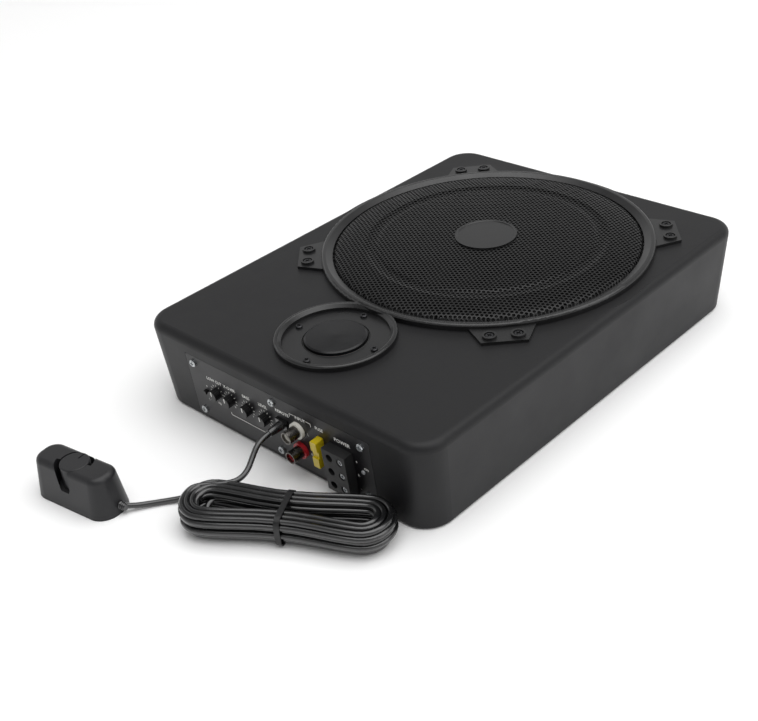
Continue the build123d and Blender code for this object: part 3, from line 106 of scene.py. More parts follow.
@dataclass(frozen=True)
class Finish:
    """A material: what it is made of and what its surface looks like close to.

    Lengths are in millimetres. The grain is the relief's own size and depth, and the cloud is the
    size of the slow changes in colour and gloss from handling, flow and dust.
    """

    name: str
    colour: str
    roughness: float = 0.45
    metallic: float = 0.0
    ior: float = 1.5
    grain: Grain = Grain.PEEL
    grain_size: float = 1.5
    grain_depth: float = 0.03
    cloud_size: float = 30.0
    cloud_colour: str = ""
    cloud_share: float = 0.25
    gloss_change: float = 0.06
    coat: float = 0.0
    coat_roughness: float = 0.1
    transmission: float = 0.0
    dust: float = 0.0
    along: tuple[float, float, float] = (1.0, 1.0, 1.0)

    def relief(self, tree: bpy.types.NodeTree, place: bpy.types.NodeSocket) -> bpy.types.NodeSocket:
        """Draws the grain.

        Args:
            tree: the material's tree.
            place: the object coordinates.

        Returns:
            The output that holds the height, from 0 to 1.
        """
        per_metre = 1 / (self.grain_size * MM)
        if self.grain is Grain.SPECKLE:
            cells = add_node(
                tree,
                "ShaderNodeTexVoronoi",
                {"feature": "F1"},
                {"Vector": place, "Scale": per_metre},
            )
            return cells.outputs["Distance"]
        if self.grain is Grain.DRAWN:
            stretched = add_node(
                tree, "ShaderNodeMapping", {}, {"Vector": place, "Scale": self.along}
            )
            lines = add_node(
                tree,
                "ShaderNodeTexNoise",
                {},
                {"Vector": stretched.outputs[0], "Scale": per_metre, "Detail": 3.0},
            )
            return lines.outputs["Fac"]
        if self.grain is Grain.WOVEN:
            waves = [
                add_node(
                    tree,
                    "ShaderNodeTexWave",
                    {"wave_type": "BANDS", "bands_direction": way},
                    {"Vector": place, "Scale": per_metre * WAVE_PERIOD, "Distortion": 0.4},
                )
                for way in ("X", "Y")
            ]
            over = add_node(
                tree,
                "ShaderNodeMath",
                {"operation": "MAXIMUM"},
                {0: waves[0].outputs["Fac"], 1: waves[1].outputs["Fac"]},
            )
            return over.outputs[0]
        if self.grain is Grain.WOUND:
            turns = add_node(
                tree,
                "ShaderNodeTexWave",
                {"wave_type": "BANDS", "bands_direction": "Z", "wave_profile": "SIN"},
                {"Vector": place, "Scale": per_metre * WAVE_PERIOD},
            )
            return turns.outputs["Fac"]
        bumps = add_node(
            tree,
            "ShaderNodeTexNoise",
            {},
            {"Vector": place, "Scale": per_metre, "Detail": 2.0, "Roughness": 0.4},
        )
        return bumps.outputs["Fac"]

    def build(self) -> bpy.types.Material:
        """Makes the material, or gives the one made before."""
        made = bpy.data.materials.get(self.name)
        if made:
            return made
        material = bpy.data.materials.new(self.name)
        material.use_nodes = True
        tree = material.node_tree
        tree.nodes.clear()
        place = add_node(tree, "ShaderNodeTexCoord").outputs["Object"]
        height = self.relief(tree, place)
        bump = add_node(
            tree,
            "ShaderNodeBump",
            {},
            {"Height": height, "Distance": self.grain_depth * MM, "Strength": BUMP_STRENGTH},
        )
        cloud = add_node(
            tree,
            "ShaderNodeTexNoise",
            {},
            {"Vector": place, "Scale": 1 / (self.cloud_size * MM), "Detail": 4.0, "Roughness": 0.6},
        )
        share = add_node(
            tree,
            "ShaderNodeMapRange",
            {},
            {
                "Value": cloud.outputs["Fac"],
                "From Min": 0.35,
                "From Max": 0.7,
                "To Min": 0.0,
                "To Max": self.cloud_share,
            },
        )
        base, other = linear(self.colour), linear(self.cloud_colour or self.colour)
        if not self.cloud_colour:
            other = tuple(min(1.0, CLOUD_GAIN * c + CLOUD_LIFT) for c in base[:3]) + (1.0,)
        tone = add_node(
            tree, "ShaderNodeMix", {"data_type": "RGBA"}, {0: share.outputs[0], 6: base, 7: other}
        ).outputs[2]
        if self.dust:
            up = add_node(
                tree,
                "ShaderNodeSeparateXYZ",
                {},
                {0: add_node(tree, "ShaderNodeNewGeometry").outputs["Normal"]},
            )
            specks = add_node(
                tree,
                "ShaderNodeTexNoise",
                {},
                {"Vector": place, "Scale": DUST_SPECKS_PER_METRE, "Detail": 5.0, "Roughness": 0.75},
            )
            lying = add_node(
                tree,
                "ShaderNodeMapRange",
                {},
                {
                    "Value": up.outputs[2],
                    "From Min": 0.6,
                    "From Max": 1.0,
                    "To Min": 0.0,
                    "To Max": self.dust,
                },
            )
            amount = add_node(
                tree,
                "ShaderNodeMath",
                {"operation": "MULTIPLY"},
                {0: lying.outputs[0], 1: specks.outputs["Fac"]},
            )
            tone = add_node(
                tree,
                "ShaderNodeMix",
                {"data_type": "RGBA"},
                {0: amount.outputs[0], 6: tone, 7: linear(DUST_COLOUR)},
            ).outputs[2]
        gloss = add_node(
            tree,
            "ShaderNodeMapRange",
            {},
            {
                "Value": cloud.outputs["Fac"],
                "From Min": 0.3,
                "From Max": 0.7,
                "To Min": self.roughness - self.gloss_change,
                "To Max": self.roughness + self.gloss_change,
            },
        )
        shader = add_node(
            tree,
            "ShaderNodeBsdfPrincipled",
            {},
            {
                "Base Color": tone,
                "Roughness": gloss.outputs[0],
                "Metallic": self.metallic,
                "IOR": self.ior,
                "Coat Weight": self.coat,
                "Coat Roughness": self.coat_roughness,
                "Transmission Weight": self.transmission,
                "Normal": bump.outputs[0],
            },
        )
        add_node(tree, "ShaderNodeOutputMaterial", {}, {"Surface": shader.outputs[0]})
        return material


# Cast aluminium under a fine black powder coat: a satin black with a soft orange peel. The peel is
# about 0.5 mm across and is drawn at 1.4 mm, so that it shows.
POWDER_COAT = Finish(
    "powder_coated_casting",
    "#101012",
    0.48,
    ior=1.38,
    grain_size=1.4,
    grain_depth=0.035,
    cloud_size=60,
    dust=0.02,
)
# Black enamel on pressed steel, smooth and a little glossier, for the cover under the box.
COVER_ENAMEL = Finish("enamelled_cover_steel", "#121213", 0.38, grain_size=2.0, grain_depth=0.015)
# ABS moulded in a spark-eroded tool: tiny pits, 0.2 mm in life and drawn at 0.9 mm.
MOULDED_TRIM = Finish(
    "moulded_abs_trim",
    "#101011",
    0.33,
    grain=Grain.SPECKLE,
    grain_size=0.9,
    grain_depth=0.012,
    coat=0.15,
    coat_roughness=0.25,
)
# Punched and domed steel sheet with a black electro-coat: thin, even and slightly shiny.
GRILLE_STEEL = Finish(
    "coated_perforated_steel",
    "#0d0d0e",
    0.38,
    ior=1.42,
    grain_size=0.8,
    grain_depth=0.006,
    cloud_size=45,
    dust=0.02,
)
# Steel screws with blue-white zinc, and the same in black zinc for those that are meant to hide.
BRIGHT_ZINC = Finish(
    "bright_zinc_screw_steel",
    "#c3c7cb",
    0.28,
    1.0,
    grain=Grain.DRAWN,
    grain_size=0.4,
    grain_depth=0.004,
    along=(1, 1, 0.1),
    cloud_size=3,
    cloud_colour="#a9a68f",
)
BLACK_ZINC = Finish(
    "black_zinc_screw_steel",
    "#3a3a3c",
    0.34,
    0.8,
    grain=Grain.DRAWN,
    grain_size=0.4,
    grain_depth=0.004,
    along=(1, 1, 0.1),
    cloud_size=3,
)
# Turned brass for the threaded inserts, dulled by handling.
TURNED_BRASS = Finish(
    "turned_brass",
    "#b48d42",
    0.3,
    1.0,
    grain=Grain.DRAWN,
    grain_size=0.3,
    grain_depth=0.004,
    along=(1, 1, 12),
    cloud_size=4,
    cloud_colour="#8d6d35",
)
# Closed-cell foam: matt with open pits of about half a millimetre.
CELL_FOAM = Finish(
    "closed_cell_foam", "#151515", 0.93, grain=Grain.SPECKLE, grain_size=0.6, grain_depth=0.15
)
# Pressed steel basket with black paint.
BASKET_PAINT = Finish("painted_basket_steel", "#161617", 0.42, grain_size=1.2, grain_depth=0.02)
# Moulded nitrile rubber: dark, soft sheen, smooth.
NITRILE_RUBBER = Finish(
    "moulded_nitrile_rubber",
    "#121212",
    0.55,
    ior=1.52,
    grain_size=0.7,
    grain_depth=0.01,
    cloud_size=15,
)
# Pressed paper pulp dyed black: matt fibres about 1 mm long.
BLACK_PULP = Finish(
    "pressed_black_pulp",
    "#171718",
    0.88,
    grain=Grain.DRAWN,
    grain_size=0.5,
    grain_depth=0.06,
    along=(1, 0.25, 1),
    cloud_size=8,
)
# Cotton cloth dipped in resin and hot-formed: yellow-brown threads 0.5 mm apart.
RESIN_COTTON = Finish(
    "resin_dipped_cotton",
    "#8f6c2d",
    0.72,
    grain=Grain.WOVEN,
    grain_size=0.5,
    grain_depth=0.12,
    cloud_size=12,
    cloud_colour="#6f5122",
)
# Thin rolled aluminium sheet for the coil former.
FORMER_SHEET = Finish(
    "rolled_aluminium_sheet",
    "#b6b8ba",
    0.3,
    1.0,
    grain=Grain.DRAWN,
    grain_size=0.4,
    grain_depth=0.004,
    along=(0.1, 0.1, 1),
    cloud_size=6,
)
# Enamelled copper wire wound in close turns of about 0.4 mm.
ENAMELLED_WIRE = Finish(
    "enamelled_copper_wire",
    "#a3581f",
    0.3,
    0.9,
    grain=Grain.WOUND,
    grain_size=0.4,
    grain_depth=0.08,
    cloud_size=5,
    coat=0.5,
)
# Steel for the magnet's plates, barrel-plated with zinc.
ZINC_STEEL = Finish(
    "zinc_plated_steel",
    "#85888a",
    0.36,
    1.0,
    grain_size=0.6,
    grain_depth=0.01,
    cloud_size=14,
    cloud_colour="#9a9a8a",
)
# Sintered and ground ferrite: dark grey, dull, with fine pits.
GROUND_FERRITE = Finish(
    "ground_ferrite",
    "#26272a",
    0.66,
    ior=2.0,
    grain=Grain.SPECKLE,
    grain_size=0.7,
    grain_depth=0.02,
    cloud_size=10,
)
# Plastic film formed with heat: thin, smooth and shiny.
FORMED_FILM = Finish(
    "formed_plastic_film", "#0c0c0e", 0.34, ior=1.4, grain_size=3.0, grain_depth=0.02, cloud_size=8
)
# The control panel's steel, painted black in a fine texture under the white print.
PANEL_PAINT = Finish(
    "painted_panel_steel", "#0e0d10", 0.4, grain_size=0.9, grain_depth=0.015, cloud_size=35
)
# ABS for knobs, moulded smooth.
KNOB_ABS = Finish(
    "moulded_knob_abs", "#0d0d0e", 0.36, grain_size=0.8, grain_depth=0.008, cloud_size=5
)
# Glass-filled nylon for sockets and holders: slightly rough, with pale flow marks.
SOCKET_NYLON = Finish(
    "glass_filled_nylon",
    "#131314",
    0.5,
    ior=1.53,
    grain=Grain.DRAWN,
    grain_size=0.5,
    grain_depth=0.02,
    along=(0.3, 1, 1),
    cloud_size=7,
)
# Glass-epoxy board under green lacquer.
BOARD_LACQUER = Finish(
    "lacquered_glass_epoxy",
    "#174a2d",
    0.3,
    ior=1.55,
    grain=Grain.WOVEN,
    grain_size=0.7,
    grain_depth=0.01,
    cloud_size=9,
    cloud_colour="#1f6a3c",
    cloud_share=0.5,
    coat=0.4,
)
# ABS mouldings coloured right through for the two sound sockets.
WHITE_ABS = Finish(
    "white_moulded_abs",
    "#e4e2da",
    0.3,
    grain_size=0.9,
    grain_depth=0.008,
    cloud_size=5,
    cloud_colour="#d2cec2",
)
RED_ABS = Finish(
    "red_moulded_abs",
    "#b3202a",
    0.3,
    grain_size=0.9,
    grain_depth=0.008,
    cloud_size=5,
    cloud_colour="#941a24",
)
# Black nickel on turned brass: a dark, slightly warm mirror.
BLACK_NICKEL = Finish(
    "black_nickel_plate",
    "#6a6764",
    0.26,
    1.0,
    grain=Grain.DRAWN,
    grain_size=0.3,
    grain_depth=0.003,
    along=(1, 10, 1),
    cloud_size=3,
)
# Tinted polycarbonate, the fuse's body: clear yellow with some light coming through.
YELLOW_CARBONATE = Finish(
    "yellow_polycarbonate",
    "#d8bd12",
    0.2,
    ior=1.58,
    grain_size=2.0,
    grain_depth=0.01,
    cloud_size=6,
    cloud_colour="#e6d040",
    transmission=0.15,
)
# Epoxy lens of the lamp, clear and milky while it is off.
LENS_EPOXY = Finish(
    "clear_lens_epoxy",
    "#8d8f92",
    0.12,
    ior=1.54,
    grain_size=1.5,
    grain_depth=0.003,
    cloud_size=2,
    coat=0.5,
)
# Extruded aluminium with die lines along its length.
DIE_ALUMINIUM = Finish(
    "extruded_aluminium",
    "#9da0a3",
    0.38,
    1.0,
    grain=Grain.DRAWN,
    grain_size=0.6,
    grain_depth=0.02,
    along=(0.04, 1, 1),
    cloud_size=15,
)
# Heat-shrunk PVC sleeve on the capacitors.
SHRUNK_SLEEVE = Finish(
    "shrunk_pvc_sleeve",
    "#14152a",
    0.26,
    ior=1.53,
    grain_size=2.5,
    grain_depth=0.015,
    cloud_size=6,
    coat=0.3,
)
# Satin ABS for the remote, moulded in a finely etched tool.
REMOTE_ABS = Finish(
    "satin_moulded_abs",
    "#1d1d1f",
    0.42,
    ior=1.42,
    grain=Grain.SPECKLE,
    grain_size=0.8,
    grain_depth=0.01,
    cloud_size=25,
    dust=0.04,
)
# Extruded PVC jacket: smooth, glossy black with faint die streaks.
PVC_JACKET = Finish(
    "extruded_pvc_jacket",
    "#121213",
    0.24,
    ior=1.54,
    grain_size=4.0,
    grain_depth=0.004,
    cloud_size=9,
    gloss_change=0.04,
    coat=0.7,
    coat_roughness=0.14,
)
# Flat plastic tie with a wire in it.
TIE_PLASTIC = Finish(
    "wired_tie_plastic", "#0c0c0d", 0.42, grain_size=0.9, grain_depth=0.05, cloud_size=5
)
# Screen-printed white epoxy ink: matt, thin and not quite opaque.
WHITE_INK = Finish(
    "white_screen_ink",
    "#f2f2ee",
    0.55,
    grain_size=0.4,
    grain_depth=0.01,
    cloud_size=2,
    cloud_colour="#cfcec9",
    cloud_share=0.3,
)
# Matt painted board for the studio's floor.
STUDIO_BOARD = Finish(
    "matt_studio_board",
    "#ffffff",
    0.75,
    grain_size=2.0,
    grain_depth=0.005,
    cloud_size=200,
    cloud_colour="#fbfbfa",
    cloud_share=0.3,
)


def dress(finish: Finish, *names: str) -> None:
    """Gives CAD nodes their finish.

    Args:
        finish: the material.
        names: the nodes that are made of it.
    """
    material = finish.build()
    for name in names:
        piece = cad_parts[name]
        if not piece.material_slots:
            piece.data.materials.append(material)
        for place in piece.material_slots:
            place.material = material


def add_piece(
    name: str, mesh: bpy.types.Mesh, finish: Finish, body: str = "root"
) -> bpy.types.Object:
    """Puts a finished mesh in the scene, on a body.

    Args:
        name: the piece's name.
        mesh: its mesh, already in place.
        finish: its material.
        body: the body that it rides on.

    Returns:
        The piece.
    """
    mesh.materials.clear()
    mesh.materials.append(finish.build())
    piece = bpy.data.objects.new(name, mesh)
    bpy.context.scene.collection.objects.link(piece)
    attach(piece, body)
    log.info("%s: %d faces on %s", name, len(mesh.polygons), body)
    return piece


def evaluated_mesh(maker: bpy.types.Object, name: str) -> bpy.types.Mesh:
    """Turns an object with modifiers, a text or a curve to a plain mesh and removes the object.

    Args:
        maker: the object.
        name: the new mesh's name.

    Returns:
        The mesh.
    """
    bpy.context.view_layer.update()
    mesh = bpy.data.meshes.new_from_object(
        maker.evaluated_get(bpy.context.evaluated_depsgraph_get())
    )
    mesh.name = name
    bpy.data.objects.remove(maker)
    return mesh


def run_tree(tree: bpy.types.NodeTree, name: str, sizes: dict) -> bpy.types.Mesh:
    """Runs a Geometry Nodes tree on an empty object.

    Args:
        tree: the tree.
        name: the mesh's name.
        sizes: the values of the tree's named inputs.

    Returns:
        The mesh that the tree makes.
    """
    maker = bpy.data.objects.new(name + "_maker", bpy.data.meshes.new(name + "_seed"))
    bpy.context.scene.collection.objects.link(maker)
    modifier = maker.modifiers.new("tree", "NODES")
    modifier.node_group = tree
    for item in tree.interface.items_tree:
        if item.item_type == "SOCKET" and item.in_out == "INPUT" and item.name in sizes:
            modifier[item.identifier] = sizes[item.name]
    return evaluated_mesh(maker, name)


def new_tree(name: str, inputs: dict[str, str]) -> tuple[bpy.types.NodeTree, bpy.types.Node]:
    """Starts a Geometry Nodes tree.

    Args:
        name: the tree's name.
        inputs: each named input and its kind of socket.

    Returns:
        The tree and its Group Input node.
    """
    tree = bpy.data.node_groups.new(name, "GeometryNodeTree")
    for label, kind in inputs.items():
        tree.interface.new_socket(label, in_out="INPUT", socket_type="NodeSocket" + kind)
    tree.interface.new_socket("Geometry", in_out="OUTPUT", socket_type="NodeSocketGeometry")
    return tree, tree.nodes.new("NodeGroupInput")


def close_tree(
    tree: bpy.types.NodeTree, shape: bpy.types.NodeSocket, material: bpy.types.NodeSocket
) -> None:
    """Ends a tree in Realize Instances and Set Material.

    Args:
        tree: the tree.
        shape: the geometry so far.
        material: the input that holds the material.
    """
    real = add_node(tree, "GeometryNodeRealizeInstances", {}, {"Geometry": shape})
    coated = add_node(
        tree, "GeometryNodeSetMaterial", {}, {"Geometry": real.outputs[0], "Material": material}
    )
    add_node(tree, "NodeGroupOutput", {}, {"Geometry": coated.outputs[0]})


def turned_mesh(
    name: str, profile: list[tuple[float, float]], base: Vector, axis: Vector, segments: int = 32
) -> bpy.types.Mesh:
    """Turns a profile about an axis to a closed solid.

    Args:
        name: the mesh's name.
        profile: (height along the axis, radius) pairs in metres, with a flat cap at each end.
        base: where height 0 lies.
        axis: the axis's direction.
        segments: the number of sides.

    Returns:
        The mesh.
    """
    shape = bmesh.new()
    turn = axis.normalized().to_track_quat("Z", "Y").to_matrix().to_4x4()
    rings = []
    for height, radius in profile:
        angles = [2 * math.pi * step / segments for step in range(segments)]
        rings.append(
            [shape.verts.new((radius * math.cos(a), radius * math.sin(a), height)) for a in angles]
        )
    for low, high in zip(rings, rings[1:]):
        for step in range(segments):
            after = (step + 1) % segments
            shape.faces.new((low[step], low[after], high[after], high[step]))
    shape.faces.new(list(reversed(rings[0])))
    shape.faces.new(rings[-1])
    bmesh.ops.recalc_face_normals(shape, faces=shape.faces)
    shape.transform(Matrix.Translation(base) @ turn)
    mesh = bpy.data.meshes.new(name)
    shape.to_mesh(mesh)
    shape.free()
    for face in mesh.polygons:
        face.use_smooth = len(face.vertices) == 4
    return mesh


@dataclass
class Enclosure:
    """The tapered cast box, the cover under it and what bolts to it."""

    def dress(self) -> None:
        """Gives the box and its fittings their finishes."""
        dress(POWDER_COAT, "housing")
        dress(COVER_ENAMEL, "base_cover")
        dress(BRIGHT_ZINC, "base_screws")
        dress(TURNED_BRASS, "bracket_inserts")
        log.info("enclosure dressed")


@dataclass
class WooferUnit:
    """The large driver under the grille, from its cone to its magnet."""

    def dress(self) -> None:
        """Gives the driver's parts their finishes."""
        dress(BLACK_PULP, "woofer_cone", "dust_cap")
        dress(NITRILE_RUBBER, "woofer_surround")
        dress(RESIN_COTTON, "spider")
        dress(FORMER_SHEET, "voice_coil_former")
        dress(ENAMELLED_WIRE, "voice_coil_winding")
        dress(BASKET_PAINT, "woofer_basket")
        dress(CELL_FOAM, "woofer_gasket")
        dress(BLACK_ZINC, "woofer_screws")
        dress(ZINC_STEEL, "magnet_top_plate", "magnet_yoke")
        dress(GROUND_FERRITE, "woofer_magnet")
        dress(MOULDED_TRIM, "bezel")
        dress(BLACK_ZINC, "bezel_screws")
        log.info("woofer dressed")


@dataclass
class Grille:
    """The domed sheet of punched steel over the woofer and the round badge at its middle.

    Lengths are in metres. The profile gives (radius, height above the box's top).
    """

    centre: tuple[float, float] = (0.0, 0.0416)
    level: float = 0.0625
    pitch: float = 0.0030
    hole_share: float = 0.70
    edge: float = 0.1084
    sheet: float = 0.0009
    rise_span: float = 0.008
    weld: float = 0.00005
    profile: tuple[tuple[float, float], ...] = (
        (0.0, 0.0075),
        (0.022, 0.0075),
        (0.050, 0.0070),
        (0.074, 0.0062),
        (0.077, 0.0053),
        (0.081, 0.0053),
        (0.084, 0.0060),
        (0.095, 0.0050),
        (0.102, 0.0040),
        (0.1054, 0.0030),
        (0.1064, 0.0010),
        (0.112, 0.0010),
    )

    def tree(self) -> bpy.types.NodeTree:
        """Makes the tree that punches hexagonal cells in staggered rows and domes the sheet."""
        tree, given = new_tree(
            "perforated_dome",
            {
                "Pitch": "Float",
                "Hole Share": "Float",
                "Edge Radius": "Float",
                "Cells Across": "Int",
                "Rise Span": "Float",
                "Middle": "Vector",
                "Finish": "Material",
            },
        )
        size = given.outputs
        column = add_node(
            tree,
            "ShaderNodeMath",
            {"operation": "MULTIPLY"},
            {0: size["Pitch"], 1: math.sqrt(3) / 2},
        ).outputs[0]
        gaps = add_node(
            tree, "ShaderNodeMath", {"operation": "SUBTRACT"}, {0: size["Cells Across"], 1: 1.0}
        ).outputs[0]
        width = add_node(
            tree, "ShaderNodeMath", {"operation": "MULTIPLY"}, {0: gaps, 1: column}
        ).outputs[0]
        length = add_node(
            tree, "ShaderNodeMath", {"operation": "MULTIPLY"}, {0: gaps, 1: size["Pitch"]}
        ).outputs[0]
        lattice = add_node(
            tree,
            "GeometryNodeMeshGrid",
            {},
            {
                "Size X": width,
                "Size Y": length,
                "Vertices X": size["Cells Across"],
                "Vertices Y": size["Cells Across"],
            },
        ).outputs[0]
        where = add_node(tree, "GeometryNodeInputPosition").outputs[0]
        across = add_node(tree, "ShaderNodeSeparateXYZ", {}, {0: where}).outputs[0]
        number = add_node(
            tree, "ShaderNodeMath", {"operation": "DIVIDE"}, {0: across, 1: column}
        ).outputs[0]
        whole = add_node(tree, "ShaderNodeMath", {"operation": "ROUND"}, {0: number}).outputs[0]
        odd = add_node(
            tree, "ShaderNodeMath", {"operation": "FLOORED_MODULO"}, {0: whole, 1: 2.0}
        ).outputs[0]
        half = add_node(
            tree, "ShaderNodeMath", {"operation": "MULTIPLY"}, {0: size["Pitch"], 1: 0.5}
        ).outputs[0]
        shift = add_node(
            tree, "ShaderNodeMath", {"operation": "MULTIPLY"}, {0: odd, 1: half}
        ).outputs[0]
        stagger = add_node(tree, "ShaderNodeCombineXYZ", {}, {"Y": shift}).outputs[0]
        rows = add_node(
            tree, "GeometryNodeSetPosition", {}, {"Geometry": lattice, "Offset": stagger}
        ).outputs[0]
        out = add_node(
            tree, "ShaderNodeVectorMath", {"operation": "LENGTH"}, {0: where}
        ).outputs["Value"]
        outside = add_node(
            tree,
            "FunctionNodeCompare",
            {"data_type": "FLOAT", "operation": "GREATER_THAN"},
            {0: out, 1: size["Edge Radius"]},
        ).outputs[0]
        disc = add_node(
            tree,
            "GeometryNodeDeleteGeometry",
            {"domain": "POINT"},
            {"Geometry": rows, "Selection": outside},
        ).outputs[0]
        corner = add_node(
            tree, "ShaderNodeMath", {"operation": "DIVIDE"}, {0: size["Pitch"], 1: math.sqrt(3)}
        ).outputs[0]
        plate = add_node(
            tree, "GeometryNodeMeshCircle", {"fill_type": "NGON"}, {"Vertices": 6, "Radius": corner}
        ).outputs[0]
        inset = add_node(
            tree, "GeometryNodeExtrudeMesh", {"mode": "FACES"}, {"Mesh": plate, "Offset Scale": 0.0}
        )
        punch = add_node(
            tree,
            "GeometryNodeScaleElements",
            {"domain": "FACE"},
            {
                "Geometry": inset.outputs["Mesh"],
                "Selection": inset.outputs["Top"],
                "Scale": size["Hole Share"],
            },
        ).outputs[0]
        cell = add_node(
            tree,
            "GeometryNodeDeleteGeometry",
            {"domain": "FACE"},
            {"Geometry": punch, "Selection": inset.outputs["Top"]},
        ).outputs[0]
        cells = add_node(
            tree, "GeometryNodeInstanceOnPoints", {}, {"Points": disc, "Instance": cell}
        ).outputs[0]
        flat = add_node(tree, "GeometryNodeRealizeInstances", {}, {"Geometry": cells}).outputs[0]
        joined = add_node(
            tree, "GeometryNodeMergeByDistance", {}, {"Geometry": flat, "Distance": self.weld}
        ).outputs[0]
        part = add_node(
            tree, "ShaderNodeMath", {"operation": "DIVIDE"}, {0: out, 1: self.profile[-1][0]}
        ).outputs[0]
        dome = add_node(tree, "ShaderNodeFloatCurve", {}, {"Value": part})
        line = dome.mapping.curves[0]
        for place, (radius, height) in enumerate(self.profile):
            spot = (radius / self.profile[-1][0], height / self.rise_span)
            if place in (0, len(self.profile) - 1):
                point = line.points[0 if place == 0 else -1]
                point.location = spot
            else:
                point = line.points.new(*spot)
            point.handle_type = "VECTOR"
        dome.mapping.update()
        height = add_node(
            tree,
            "ShaderNodeMath",
            {"operation": "MULTIPLY"},
            {0: dome.outputs[0], 1: size["Rise Span"]},
        ).outputs[0]
        lift = add_node(tree, "ShaderNodeCombineXYZ", {}, {"Z": height}).outputs[0]
        place = add_node(
            tree, "ShaderNodeVectorMath", {"operation": "ADD"}, {0: lift, 1: size["Middle"]}
        ).outputs[0]
        domed = add_node(
            tree, "GeometryNodeSetPosition", {}, {"Geometry": joined, "Offset": place}
        ).outputs[0]
        close_tree(tree, domed, size["Finish"])
        return tree

    def build(self) -> None:
        """Makes the perforated sheet and dresses the badge."""
        across = 2 * math.ceil(self.edge / (self.pitch * math.sqrt(3) / 2)) + 3
        sizes = {
            "Pitch": self.pitch,
            "Hole Share": self.hole_share,
            "Edge Radius": self.edge,
            "Cells Across": across,
            "Rise Span": self.rise_span,
            "Middle": (self.centre[0], self.centre[1], self.level),
            "Finish": GRILLE_STEEL.build(),
        }
        mesh = run_tree(self.tree(), "grille_sheet", sizes)
        maker = bpy.data.objects.new("sheet_maker", mesh)
        bpy.context.scene.collection.objects.link(maker)
        wall = maker.modifiers.new("sheet", "SOLIDIFY")
        up = sum(face.normal.z for face in mesh.polygons) > 0
        if not up:
            mesh.flip_normals()
        wall.thickness = self.sheet
        wall.offset = -1.0
        solid = evaluated_mesh(maker, "perforated_grille")
        grille = add_piece("perforated_grille", solid, GRILLE_STEEL)
        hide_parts("grille")
        dress(MOULDED_TRIM, "grille_badge")


@dataclass
class SmallUnit:
    """The small midrange driver beside the woofer."""

    def dress(self) -> None:
        """Gives the small driver's parts their finishes."""
        dress(MOULDED_TRIM, "mid_faceplate")
        dress(BLACK_ZINC, "mid_screws")
        dress(FORMED_FILM, "mid_dome")
        dress(NITRILE_RUBBER, "mid_surround")
        dress(ENAMELLED_WIRE, "mid_coil")
        dress(ZINC_STEEL, "mid_cup")
        dress(GROUND_FERRITE, "mid_magnet")
        log.info("small unit dressed")


@dataclass
class Amplifier:
    """The boards inside the box and the parts on them."""

    def dress(self) -> None:
        """Gives the electronics their finishes."""
        dress(BOARD_LACQUER, "amplifier_board", "control_board")
        dress(DIE_ALUMINIUM, "heat_sink")
        dress(SHRUNK_SLEEVE, "filter_capacitors")
        dress(ENAMELLED_WIRE, "supply_toroid")
        log.info("amplifier dressed")


